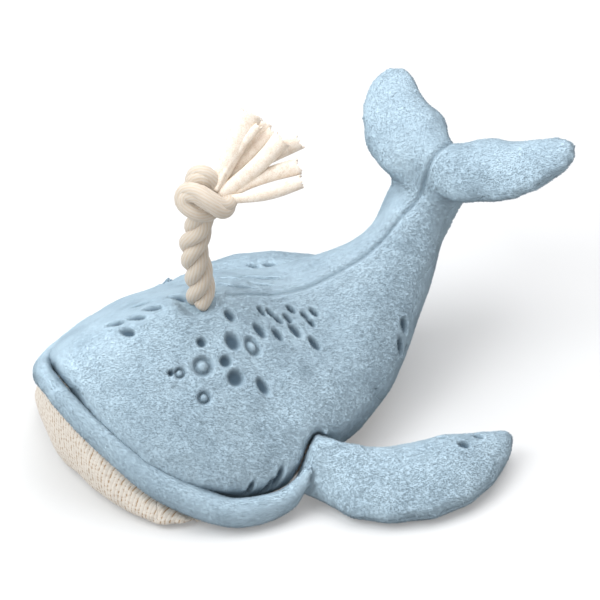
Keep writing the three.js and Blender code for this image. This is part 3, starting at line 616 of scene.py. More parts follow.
def plush_material(colours, tufted):
    """Short polyester pile, brushed and sheared: soft streaks along the nap, darker where it is pressed, with
    painted shade in seams, folds and under the lip.
    """
    material, tree, shader = cloth_material(
        "Sheared polyester plush" + (" pile" if tufted else ""),
        **{"Sheen Weight": 0.15, "Sheen Roughness": 0.5, "Sheen Tint": colours.plush_tip})
    place = add(tree, "ShaderNodeTexCoord").outputs["Object"]
    # Large soft patches, about 20 mm, where the pile was stroked.
    patch = add(tree, "ShaderNodeTexNoise", {"Vector": place, "Scale": 1 / (20 * mm), "Detail": 2}).outputs[0]
    # Streaks about 5 mm long and 1.2 mm wide along the nap; the real ones are finer than shows.
    turned = add(tree, "ShaderNodeMapping", {"Vector": place, "Rotation": (0, 0.6, 0), "Scale": (0.25, 1, 1)})
    tuft = add(tree, "ShaderNodeTexNoise", {"Vector": turned.outputs[0], "Scale": 1 / (1.2 * mm), "Detail": 2,
                                            "Roughness": 0.6}).outputs[0]
    tone = add(tree, "ShaderNodeMath", {0: tuft, 1: 0.6, 2: patch}, operation="MULTIPLY_ADD").outputs[0]
    level = add(tree, "ShaderNodeMapRange", {"Value": tone, "From Min": 0.4, "From Max": 1.2}).outputs[0]
    if tufted:
        along = add(tree, "ShaderNodeAttribute", attribute_name="along").outputs["Fac"]
        tint = add(tree, "ShaderNodeAttribute", attribute_name="tint").outputs["Fac"]
        # Tips are painted paler than roots, as painted light on the tips and shade at the roots, and single
        # tufts differ a little.
        for value, part in ((tint, tuft_tint), (along, painted_tip_light)):
            level = add(tree, "ShaderNodeMath", {0: value, 1: part, 2: level},
                        operation="MULTIPLY_ADD").outputs[0]
        level = add(tree, "ShaderNodeMath", {0: level, 1: pile_darker}, operation="SUBTRACT").outputs[0]
    shade = add(tree, "ShaderNodeValToRGB", {"Fac": level})
    ramp = shade.color_ramp
    ramp.elements[0].color = colours.plush_root
    ramp.elements[1].color = colours.plush_tip
    ramp.elements.new(0.45).color = colours.plush
    # Pressed marks, and the painted shade of seams, folds and the lip, mix towards the pressed colour.
    press_shade = add(tree, "ShaderNodeAttribute", attribute_name="press_shade").outputs["Fac"]
    mixed = add(tree, "ShaderNodeMix", {0: press_shade, 6: shade.outputs[0], 7: colours.plush_press_shade},
                data_type="RGBA")
    tree.links.new(mixed.outputs[2], shader.inputs["Base Color"])
    bump = add(tree, "ShaderNodeBump", {"Height": tuft, "Strength": 0.4, "Distance": 0.4 * mm}).outputs[0]
    if tufted:
        # A mass of pile takes the light much as the skin below it does.
        lay = add(tree, "ShaderNodeAttribute", attribute_name="lay").outputs["Vector"]
        facing = add(tree, "ShaderNodeVectorTransform", {0: lay}, vector_type="NORMAL", convert_from="OBJECT",
                     convert_to="WORLD").outputs[0]
        own = add(tree, "ShaderNodeNewGeometry").outputs["Normal"]
        own = add(tree, "ShaderNodeVectorMath", {0: own, "Scale": own_normal}, operation="SCALE").outputs[0]
        bump = add(tree, "ShaderNodeVectorMath", {0: facing, 1: own}, operation="ADD").outputs[0]
        bump = add(tree, "ShaderNodeVectorMath", {0: bump}, operation="NORMALIZE").outputs[0]
    tree.links.new(bump, shader.inputs["Normal"])
    return material


def knit_material(colours, hub, count):
    """Marled cotton rib knit: fine ribs that fan from the hub, with flecks of a darker yarn along them and
    painted shade in the grooves between them.
    """
    material, tree, shader = cloth_material("Marled cotton rib knit", **{"Sheen Weight": 0.15})
    place = add(tree, "ShaderNodeTexCoord").outputs["Object"]
    moved = add(tree, "ShaderNodeVectorMath", {0: place, 1: hub}, operation="SUBTRACT").outputs[0]
    split = add(tree, "ShaderNodeSeparateXYZ", {0: moved}).outputs
    angle = add(tree, "ShaderNodeMath", {0: split[1], 1: split[0]}, operation="ARCTAN2").outputs[0]
    phase = add(tree, "ShaderNodeMath", {0: angle, 1: count}, operation="MULTIPLY").outputs[0]
    rib = add(tree, "ShaderNodeMath", {0: phase}, operation="COSINE").outputs[0]
    # Stitches 1.6 mm long in line with the ribs, some of a darker yarn.
    flat = add(tree, "ShaderNodeCombineXYZ", {0: phase, 1: split[2]}).outputs[0]
    grain = add(tree, "ShaderNodeVectorMath", {0: flat, 1: (0.16, 1 / (1.6 * mm), 1)},
                operation="MULTIPLY").outputs[0]
    fleck = add(tree, "ShaderNodeTexNoise", {"Vector": grain, "Scale": 1.0, "Detail": 2}).outputs[0]
    spot = add(tree, "ShaderNodeMapRange", {"Value": fleck, "From Min": 0.48, "From Max": 0.62}).outputs[0]
    # The grooves between the ribs are drawn dark: partly the darker yarn, partly painted shade.
    groove = add(tree, "ShaderNodeMapRange", {"Value": rib, "From Min": -0.45, "From Max": -0.95}).outputs[0]
    thin = add(tree, "ShaderNodeMath", {0: spot, 1: 0.75, 2: 0.25}, operation="MULTIPLY_ADD").outputs[0]
    line = add(tree, "ShaderNodeMath", {0: groove, 1: thin}, operation="MULTIPLY").outputs[0]
    dark = add(tree, "ShaderNodeMath", {0: spot, 1: 0.28, 2: line}, operation="MULTIPLY_ADD", use_clamp=True)
    mixed = add(tree, "ShaderNodeMix", {0: dark.outputs[0], 6: colours.knit, 7: colours.knit_fleck},
                data_type="RGBA")
    height = add(tree, "ShaderNodeMath", {0: fleck, 1: 0.8, 2: rib}, operation="MULTIPLY_ADD").outputs[0]
    tree.links.new(mixed.outputs[2], shader.inputs["Base Color"])
    bump = add(tree, "ShaderNodeBump", {"Height": height, "Strength": 0.2, "Distance": 0.4 * mm})
    tree.links.new(bump.outputs[0], shader.inputs["Normal"])
    return material


def rope_material(colours):
    """Soft twisted cotton: yarns that run round each strand, with shade between them and loose fibres."""
    material, tree, shader = cloth_material("Twisted cotton rope", **{"Sheen Weight": 0.2})
    along = add(tree, "ShaderNodeTexCoord").outputs["UV"]
    split = add(tree, "ShaderNodeSeparateXYZ", {0: along}).outputs
    # The yarns of a strand make one turn in two lays.
    yarns = 14
    turned = add(tree, "ShaderNodeMath", {0: split[1], 1: 0.5, 2: split[0]},
                 operation="MULTIPLY_ADD").outputs[0]
    yarn = add(tree, "ShaderNodeMath", {0: turned, 1: 2 * math.pi * yarns}, operation="MULTIPLY").outputs[0]
    ridge = add(tree, "ShaderNodeMath", {0: yarn}, operation="COSINE").outputs[0]
    place = add(tree, "ShaderNodeCombineXYZ", {0: yarn, 1: split[1]}).outputs[0]
    stretched = add(tree, "ShaderNodeVectorMath", {0: place, 1: (0.7, 9, 1)}, operation="MULTIPLY").outputs[0]
    fibre = add(tree, "ShaderNodeTexNoise", {"Vector": stretched, "Scale": 2.0, "Detail": 4}).outputs[0]
    height = add(tree, "ShaderNodeMath", {0: ridge, 1: 0.2, 2: fibre}, operation="MULTIPLY_ADD").outputs[0]
    shade = add(tree, "ShaderNodeMapRange", {"Value": height, "From Min": 0.2, "From Max": 0.6}).outputs[0]
    mixed = add(tree, "ShaderNodeMix", {0: shade, 6: colours.rope_shade, 7: colours.rope}, data_type="RGBA")
    tree.links.new(mixed.outputs[2], shader.inputs["Base Color"])
    bump = add(tree, "ShaderNodeBump", {"Height": height, "Strength": 0.5, "Distance": 0.3 * mm})
    tree.links.new(bump.outputs[0], shader.inputs["Normal"])
    return material


def spun_material(name, light, dark, grain):
    """Loose or knitted fibres: a fine noise of light and shade."""
    material, tree, shader = cloth_material(name, **{"Sheen Weight": 0.15})
    place = add(tree, "ShaderNodeTexCoord").outputs["Object"]
    coarse = add(tree, "ShaderNodeTexNoise", {
        "Vector": place, "Scale": 1 / (6 * grain), "Detail": 2}).outputs[0]
    fine = add(tree, "ShaderNodeTexNoise", {"Vector": place, "Scale": 1 / grain, "Detail": 3}).outputs[0]
    both = add(tree, "ShaderNodeMath", {0: coarse, 1: 0.6, 2: fine}, operation="MULTIPLY_ADD").outputs[0]
    level = add(tree, "ShaderNodeMapRange", {"Value": both, "From Min": 0.55, "From Max": 0.95}).outputs[0]
    mixed = add(tree, "ShaderNodeMix", {0: level, 6: dark, 7: light}, data_type="RGBA")
    tree.links.new(mixed.outputs[2], shader.inputs["Base Color"])
    bump = add(tree, "ShaderNodeBump", {"Height": fine, "Strength": 0.5, "Distance": grain / 2})
    tree.links.new(bump.outputs[0], shader.inputs["Normal"])
    return material


def material_named(name, make):
    """A material by its name, made when it is first asked for."""
    return bpy.data.materials.get(name) or make()


# The ribs fan from a hub behind the rope, a pitch apart at the snout.
knit_hub = 70 * mm
rib_pitch = 2.2 * mm


def plush(colours, tufted=False):
    """The plush of skins or of their pile."""
    name = "Sheared polyester plush" + (" pile" if tufted else "")
    return material_named(name, lambda: plush_material(colours, tufted))


def knit(colours):
    """The knit of jaw and belly."""
    hub = ground - Vector((knit_hub, 0, 0))
    count = round(2 * math.pi * (knit_hub + head_reach) / rib_pitch)
    return material_named("Marled cotton rib knit", lambda: knit_material(colours, hub, count))


# Pile.

# Clumps of tufts that lean together: their size, how far they swirl, and how far a tuft strays from them.
clump_size = 2.5 * mm
clump_swirl = 0.15
tuft_stray = 0.25
# How steeply a tuft rises from the skin at least, how its size varies, and how much shorter it is where
# the skin is pressed and where it carries painted shade.
least_rise = 0.5
tuft_growth = (0.6, 1.25)
pressed_loss = 0.7


def pile_tree(material):
    """Geometry Nodes: tufts of pile over a skin's outer faces, leaning along the nap in soft clumps.

    Real pile is finer than shows, so each tuft stands for a few hairs.
    """
    tree = bpy.data.node_groups.new("Short pile", "GeometryNodeTree")
    kinds = [("Skin", "Geometry"), ("Patch", "Int"), ("Length", "Float"), ("Width", "Float"),
             ("Density", "Float"), ("Lean", "Float"), ("Nap", "Vector"), ("Seed", "Int")]
    for name, kind in kinds:
        tree.interface.new_socket(name=name, in_out="INPUT", socket_type="NodeSocket" + kind)
    tree.interface.new_socket(name="Pile", in_out="OUTPUT", socket_type="NodeSocketGeometry")
    given = add(tree, "NodeGroupInput").outputs
    patch = add(tree, "GeometryNodeInputNamedAttribute", {"Name": "patch"}, data_type="INT").outputs[0]
    chosen = add(tree, "FunctionNodeCompare", {2: patch, 3: given["Patch"]},
                 data_type="INT", operation="EQUAL").outputs[0]
    spread = add(tree, "GeometryNodeDistributePointsOnFaces", {
        "Mesh": given["Skin"], "Selection": chosen, "Density": given["Density"],
        "Seed": given["Seed"]}).outputs
    place = add(tree, "GeometryNodeInputPosition").outputs[0]
    clump = add(tree, "ShaderNodeTexNoise", {
        "Vector": place, "Scale": 1 / clump_size, "Detail": 1}).outputs["Color"]
    centred = add(tree, "ShaderNodeVectorMath", {0: clump, 1: (-0.5, -0.5, -0.5)}, operation="ADD").outputs[0]
    swirl = add(tree, "ShaderNodeVectorMath", {0: centred, "Scale": clump_swirl},
                operation="SCALE").outputs[0]
    stray = add(tree, "FunctionNodeRandomValue", {
        0: [-tuft_stray] * 3, 1: [tuft_stray] * 3, "Seed": given["Seed"]},
        data_type="FLOAT_VECTOR").outputs[0]
    lain = add(tree, "ShaderNodeVectorMath", {0: given["Nap"], "Scale": given["Lean"]},
               operation="SCALE").outputs[0]
    aim = spread["Normal"]
    for part in (lain, swirl, stray):
        aim = add(tree, "ShaderNodeVectorMath", {0: aim, 1: part}, operation="ADD").outputs[0]
    # The lean never points a tuft into the skin.
    rise = add(tree, "ShaderNodeVectorMath", {0: aim, 1: spread["Normal"]},
               operation="DOT_PRODUCT").outputs["Value"]
    short = add(tree, "ShaderNodeMath", {0: least_rise, 1: rise}, operation="SUBTRACT").outputs[0]
    lift = add(tree, "ShaderNodeMath", {0: short, 1: 0.0}, operation="MAXIMUM").outputs[0]
    lifted = add(tree, "ShaderNodeVectorMath", {0: spread["Normal"], "Scale": lift}, operation="SCALE")
    aim = add(tree, "ShaderNodeVectorMath", {0: aim, 1: lifted.outputs[0]}, operation="ADD").outputs[0]
    turn = add(tree, "FunctionNodeAlignRotationToVector", {"Vector": aim}, axis="Z").outputs[0]
    cone = add(tree, "GeometryNodeMeshCone", {
        "Vertices": 3, "Radius Bottom": given["Width"], "Radius Top": 0.0, "Depth": given["Length"]},
        fill_type="NGON").outputs["Mesh"]
    height = add(tree, "ShaderNodeSeparateXYZ", {0: place}).outputs[2]
    reach = add(tree, "ShaderNodeMath", {0: height, 1: given["Length"]}, operation="DIVIDE").outputs[0]
    tuft = add(tree, "GeometryNodeStoreNamedAttribute", {
        "Geometry": cone, "Name": "along", "Value": reach}).outputs[0]
    press_shade = add(tree, "GeometryNodeInputNamedAttribute", {"Name": "press_shade"}).outputs[0]
    varied = add(tree, "FunctionNodeRandomValue", {
        2: tuft_growth[0], 3: tuft_growth[1], "Seed": given["Seed"]}).outputs[1]
    kept = add(tree, "ShaderNodeMath", {0: press_shade, 1: -pressed_loss, 2: 1.0},
               operation="MULTIPLY_ADD").outputs[0]
    scale = add(tree, "ShaderNodeMath", {0: varied, 1: kept}, operation="MULTIPLY").outputs[0]
    shade = add(tree, "FunctionNodeRandomValue", {2: 0.0, 3: 1.0, "Seed": 7}).outputs[1]
    tinted = add(tree, "GeometryNodeStoreNamedAttribute", {
        "Geometry": spread["Points"], "Name": "tint", "Value": shade}).outputs[0]
    laid = add(tree, "GeometryNodeStoreNamedAttribute", {
        "Geometry": tinted, "Name": "lay", "Value": spread["Normal"]}, data_type="FLOAT_VECTOR").outputs[0]
    tufts = add(tree, "GeometryNodeInstanceOnPoints", {
        "Points": laid, "Instance": tuft, "Rotation": turn, "Scale": scale}).outputs[0]
    plain = add(tree, "GeometryNodeRealizeInstances", {"Geometry": tufts}).outputs[0]
    coated = add(tree, "GeometryNodeSetMaterial", {"Geometry": plain, "Material": material}).outputs[0]
    add(tree, "NodeGroupOutput", {"Pile": coated})
    return tree


def grown(skin, tree, values, name):
    """The plain mesh object that a tree makes from a skin."""
    work = placed("work", skin.data)
    modifier = work.modifiers.new("Pile", "NODES")
    modifier.node_group = tree
    for socket in tree.interface.items_tree:
        if socket.in_out == "INPUT" and socket.name in values:
            modifier[socket.identifier] = values[socket.name]
    mesh = baked(work)
    bpy.data.objects.remove(work)
    mesh.name = name
    return placed(name, mesh)


def pile_on(skin, scene, nap):
    """Covers a skin's outside with pile, in patches that each stay a modest mesh."""
    sizes = scene.whale_skin
    mesh = skin.data
    outer = read(mesh.attributes["outer"].data, "value", bool)
    area = read(mesh.polygons, "area", np.float32)
    centre = read(mesh.polygons, "center", np.float32, 3)
    density = 1 / sizes.pile_spacing ** 2
    # A tuft has four triangles, and a patch stays under 200,000.
    tufts_each = 45000
    count = math.ceil(area[outer].sum() * density / tufts_each)
    order = np.argsort(centre[:, 0])
    covered = np.cumsum(np.where(outer, area, 0)[order])
    patch = np.full(len(order), -1, np.int32)
    patch[order] = np.minimum(covered / covered[-1] * count, count - 1).astype(np.int32)
    patch[~outer] = -1
    attribute = mesh.attributes.new("patch", "INT", "FACE")
    attribute.data.foreach_set("value", patch)
    tree = bpy.data.node_groups.get("Short pile") or pile_tree(plush(scene.whale_colours, tufted=True))
    made = []
    for number in range(count):
        values = {"Patch": number, "Length": sizes.pile_length, "Width": sizes.pile_width / 2,
                  "Density": density, "Lean": sizes.pile_lean, "Nap": nap, "Seed": number + 1}
        made.append(grown(skin, tree, values, f"{skin.name}_pile_{number + 1}"))
    mesh.attributes.remove(mesh.attributes["patch"])
    return made


# Which way the pile lies, and how full the pieces are stuffed.
nap_back = (-0.75, 0.0, -0.35)
nap_lip = (-0.3, 0.0, -0.6)
nap_flipper = (-0.7, 0.0, -0.3)


def finished(obj, material, node_names, body=None, across=None):
    """Gives a piece its material and slot, hides the solids that it replaces, and parents it to its body or,
    where it spans a bend, bakes its place into its mesh.
    """
    if material:
        obj.data.materials.clear()
        obj.data.materials.append(material)
    if node_names:
        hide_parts(*node_names)
    if across:
        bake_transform(obj)
    else:
        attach(obj, body)
    return obj


def sew(scene, name, co, quads, press_shade, nodes, nap, body="trunk", across=None):
    """Makes one panel of cloth, and covers it with pile where it is plush."""
    skin = shell_object(name, co, quads, scene.whale_skin.thickness, press_shade)
    if name.endswith("knit"):
        finished(skin, knit(scene.whale_colours), nodes, body=body, across=across)
        return
    for pile in pile_on(skin, scene, nap):
        finished(pile, None, [], body=body, across=across)
    finished(skin, plush(scene.whale_colours), nodes, body=body, across=across)


# How far the tail's bend reaches on either side of its hinge, as in the solids.
bend_reach = 32 * mm


def tail_span():
    """Where the bend between trunk and tail starts and ends."""
    hinge = joint_at["tail_lift"]
    return hinge + Vector((bend_reach, 0, 0)), hinge - Vector((bend_reach, 0, 0))


# The rope's route from the foot, then the knot's from its centre, in millimetres as in the solids.
rope_route = [(0, 0, 0), (0.5, -0.3, 14), (1.9, -1, 25), (3.4, -1.8, 37), (0.6, -0.3, 52), (-0.8, 0.4, 61)]
knot_centre = (-2, 1, 72)
knot_route = [
    (-3.5, -8.7, -10), (-6, -1.7, -8), (-6.2, 4.8, -5), (-3.9, 9.4, -0.5), (0.6, 9.2, 0.5), (3.4, 4.3, -3),
    (4.5, -2.6, -6), (2, -8.2, -3), (-5, -8.6, 0.5), (-10.3, -3.8, 1), (-9.2, 0.6, 3), (-3.9, 0.7, 6.5),
    (2.2, -3.5, 7.5), (7.8, -7.2, 4.5), (11.4, -5.4, -1), (11.4, -0.6, -5.5), (9.8, 3.4, -8.5),
]


def knot_axes():
    """Right, up and front of the knot, which faces the photograph."""
    a = photo_azimuth
    right = Vector((math.cos(a), math.sin(a), 0))
    front = Vector((math.sin(a), -math.cos(a), math.tan(photo_elevation))).normalized()
    return right, front.cross(right), front


def knot_place(right, up, front):
    """A place in the knot, from millimetres to the right, up and to the front of its centre."""
    axes = knot_axes()
    centre = foot + Vector(knot_centre) * mm
    return centre + axes[0] * right * mm + axes[1] * up * mm + axes[2] * front * mm


# Steps of a smooth curve from one given point to the next.
curve_steps = 16


def smooth_line(points, spacing):
    """Points at an even spacing on a smooth curve through the given ones."""
    control = np.array([list(p) for p in points])
    padded_ends = np.concatenate([[2 * control[0] - control[1]], control, [2 * control[-1] - control[-2]]])
    fine = []
    for i in range(len(control) - 1):
        a, b, c, d = padded_ends[i:i + 4]
        for t in np.linspace(0, 1, curve_steps, endpoint=False):
            fine.append(0.5 * (2 * b + (c - a) * t + (2 * a - 5 * b + 4 * c - d) * t ** 2
                               + (3 * b - a - 3 * c + d) * t ** 3))
    fine.append(control[-1])
    fine = np.array(fine)
    run = np.concatenate([[0], np.cumsum(np.linalg.norm(np.diff(fine, axis=0), axis=1))])
    count = int(run[-1] / spacing) + 1
    wanted = np.linspace(0, run[-1], count)
    return np.stack([np.interp(wanted, run, fine[:, k]) for k in range(3)], 1), run[-1]


def line_frames(line):
    """Two directions across a line at each of its points, turned as little as can be."""
    ahead = np.gradient(line, axis=0)
    ahead /= np.linalg.norm(ahead, axis=1, keepdims=True)
    # Any direction that isn't along the line will do to start from.
    side = np.cross(ahead[0], (0.3, 1, 0.2))
    sides = []
    for direction in ahead:
        side = side - direction * side.dot(direction)
        side = side / np.linalg.norm(side)
        sides.append(side)
    sides = np.array(sides)
    return sides, np.cross(ahead, sides)


def tube(centres, frames, radii, sides):
    """The points and faces of a closed tube, with a cone of faces over each end."""
    n = len(centres)
    angles = np.linspace(0, 2 * math.pi, sides, endpoint=False)[None, :, None]
    ring = centres[:, None] + radii[..., None] * (
        frames[0][:, None] * np.cos(angles) + frames[1][:, None] * np.sin(angles))
    co = np.concatenate([ring.reshape(-1, 3), centres[:1], centres[-1:]])
    faces = []
    for i in range(n - 1):
        for j in range(sides):
            a, b = i * sides + j, i * sides + (j + 1) % sides
            faces.append([a, b, b + sides, a + sides])
    last = (n - 1) * sides
    for j in range(sides):
        k = (j + 1) % sides
        faces.append([k, j, n * sides])
        faces.append([last + j, last + k, n * sides + 1])
    return co, faces


def strand_uv(mesh, sides, count, turns_per_ring):
    """Lays each strand's UV: round it in u, along it in v."""
    layer = mesh.uv_layers.new(name="strand")
    index = read(mesh.loops, "vertex_index", np.int32)
    per_strand = sides * count + 2
    inside = index % per_strand
    ring = np.minimum(inside // sides, count - 1)
    u = (inside % sides) / sides
    starts = read(mesh.polygons, "loop_start", np.int32)
    first = np.repeat(u[starts], read(mesh.polygons, "loop_total", np.int32))
    u = np.where(u - first < -0.5, u + 1, np.where(u - first > 0.5, u - 1, u))
    layer.data.foreach_set("uv", np.stack([u, ring * turns_per_ring], 1).astype(np.float32).ravel())


# The floor's grey and the glow that shows it white, the sky's strength, and half the floor's width.
paper_grey = 0.56
paper_glow = 0.22
sky_strength = 0.58
floor_half = 3

# Each lamp's place right, up and towards the camera from the rope's foot in metres, its size, power and tone.
lamp_list = [
    ("top", (0.2, 1.35, -0.4), 1.3, 17, (0.98, 0.98, 1)),
    ("side", (-0.85, 1.05, 0.3), 1.1, 17, (0.94, 0.98, 1)),
]


class WHALE_OT_stage(bpy.types.Operator):
    """Sets the floor, the soft lamps, the world and the camera."""
    bl_idname = "whale.stage"
    bl_label = "Set the stage"

    def execute(self, context):
        view = context.scene.whale_view
        self.camera(context.scene, view)
        self.floor()
        self.world(context.scene)
        self.lamps(view)
        context.scene.view_settings.view_transform = "Standard"
        return {"FINISHED"}

    def camera(self, scene, view):
        """Stands the camera where the photograph was taken."""
        data = bpy.data.cameras.new("camera")
        data.sensor_width = 36
        data.lens = data.sensor_width * view.distance / view.width
        scene.camera = placed("camera", data)
        self.aimed(scene.camera, camera_place(view), -view_axes(view)[2])

    def aimed(self, obj, place, direction):
        """Stands a camera or lamp in its place, looking in a direction."""
        obj.location = place
        obj.rotation_mode = "QUATERNION"
        obj.rotation_quaternion = direction.to_track_quat("-Z", "Y")

    def backdrop_white(self, tree):
        """One where a camera, mirror or glass ray looks, and nought elsewhere."""
        path = add(tree, "ShaderNodeLightPath").outputs
        seen = path["Is Camera Ray"]
        for ray in ("Is Glossy Ray", "Is Transmission Ray"):
            seen = add(tree, "ShaderNodeMath", {0: seen, 1: path[ray]}, operation="ADD",
                       use_clamp=True).outputs[0]
        return seen

    def floor(self):
        """A pale floor that shows white and keeps the soft shadow."""
        half = floor_half
        corner_list = [(-half, -half, 0), (half, -half, 0), (half, half, 0), (-half, half, 0)]
        floor = mesh_object("floor", corner_list, [[0, 1, 2, 3]])
        material = bpy.data.materials.new("White paper sweep")
        tree = emptied(material)
        grey = (paper_grey, paper_grey, paper_grey, 1)
        paper = add(tree, "ShaderNodeBsdfDiffuse", {"Color": grey}).outputs[0]
        glow = add(tree, "ShaderNodeMath", {0: self.backdrop_white(tree), 1: paper_glow},
                   operation="MULTIPLY").outputs[0]
        light = add(tree, "ShaderNodeEmission", {"Strength": glow}).outputs[0]
        both = add(tree, "ShaderNodeAddShader", {0: paper, 1: light}).outputs[0]
        add(tree, "ShaderNodeOutputMaterial", {"Surface": both})
        floor.data.materials.append(material)

    def world(self, scene):
        """White where it is seen, and a soft pale light on the whale."""
        world = bpy.data.worlds.new("studio")
        tree = emptied(world)
        strength = add(tree, "ShaderNodeMapRange", {
            "Value": self.backdrop_white(tree), "To Min": sky_strength, "To Max": 1.0}).outputs[0]
        back = add(tree, "ShaderNodeBackground", {"Color": (1, 1, 1, 1), "Strength": strength})
        add(tree, "ShaderNodeOutputWorld", {"Surface": back.outputs[0]})
        scene.world = world

    def lamps(self, view):
        """A large soft lamp overhead, a little behind the whale, and one from the picture's left."""
        right, _, back = view_axes(view)
        upright = Vector((0, 0, 1))
        toward = Vector((back.x, back.y, 0)).normalized()
        for name, (beside, above, ahead), size, power, tone in lamp_list:
            place = right * beside + upright * above + toward * ahead
            data = bpy.data.lights.new(name, "AREA")
            data.size = size
            data.energy = power
            data.color = tone
            self.aimed(placed(name, data), foot + place, -place)


# The rope is laid in rings this far apart, each of so many points.
ring_step = 1.5 * mm
ring_points = 32
# The knot's grip starts a little before the knot and is full a little way into it, in shares of the route.
grip_before = 0.084
grip_within = 0.056
# A strand's radius as a share of the rope's, and what the grip adds as it presses the strands together.
strand_part = 0.52
strand_pressed = 0.18
# Yarns stand out of a strand as low ridges.
yarn_ridges = 12
yarn_height = 0.01


class WHALE_OT_rope(bpy.types.Operator):
    """Lays the three strands of the rope spout along its route and through the knot."""
    bl_idname = "whale.rope"
    bl_label = "Lay the rope spout"

    def execute(self, context):
        sizes = context.scene.whale_rope
        straight = [foot + Vector(point) * mm for point in rope_route]
        line, run = smooth_line(straight + [knot_place(*point) for point in knot_route], ring_step)
        knot_start = rope_route[-1][2] * mm / run
        thick, thin = sizes.diameter / 2, sizes.knot_diameter / 2
        tight = eased(np.linspace(0, 1, len(line)), knot_start - grip_before, knot_start + grip_within)
        radius = thick + (thin - thick) * tight
        strand = radius * (strand_part + strand_pressed * tight)
        reach = radius - strand
        turns = np.cumsum(ring_step / (sizes.lay + (sizes.knot_lay - sizes.lay) * tight))
        across, beside = line_frames(line)
        angles = np.linspace(0, 2 * math.pi, ring_points, endpoint=False)
        co, faces = [], []
        for number in range(3):
            phase = 2 * math.pi * (turns + number / 3)[:, None]
            middle = line + reach[:, None] * (across * np.cos(phase) + beside * np.sin(phase))
            # The yarns turn the other way.
            yarns = 1 + yarn_height * np.cos(yarn_ridges * angles[None] + phase * 2)
            points, rings = tube(middle, line_frames(middle), strand[:, None] * yarns, ring_points)
            base = sum(len(part) for part in co)
            co.append(points)
            faces += [[base + i for i in ring] for ring in rings]
        rope = mesh_object("rope_spout", np.concatenate(co), faces)
        strand_uv(rope.data, ring_points, len(line), ring_step / sizes.lay)
        finished(rope, rope_material(context.scene.whale_colours), ["spout_rope", "spout_knot"],
                 body="spout")
        return {"FINISHED"}


# Each strip: its turn from the knot's right in shares of a right angle, the shares of its length and
# width, its place in the stack from back to front, its bow, its curl and its twist in radians.
strip_shares = [
    (0.78, 0.95, 1.35, 4, 0.02, 1.9, 0.2), (0.63, 0.93, 0.9, 0, -0.04, 2.2, -0.4),
    (0.68, 0.86, 0.6, 7, 0.05, 2.6, 0.5), (0.54, 0.90, 0.9, 2, 0.04, 2.2, -0.5),
    (0.46, 0.91, 1.1, 6, -0.04, 1.9, 0.3), (0.37, 1.06, 0.95, 1, 0.05, 2.2, 0.5),
    (0.20, 0.93, 0.9, 3, 0.05, 2.0, -0.3), (0.08, 0.92, 0.85, 5, -0.04, 2.2, 0.3),
]


middle_strip = strip_shares[4]
# Where the strips leave the knot, in its millimetres, how deep they start in it, and how far apart they
# lie there and at their tips.
strip_start = (9, 2, -4)
strip_sunk = 3 * mm
root_layer = 0.9 * mm
tip_layer = 1.6 * mm
# How far a strip waves, its width at the knot as a share, and its frayed end, in millimetres and as a share.
strip_wave = 1.2 * mm
gathered_width = 0.7
fray_range = (-1, 0.6)
fray_start = 0.85
jersey_grain = 0.5 * mm
strip_rows = 36
strip_columns = 17


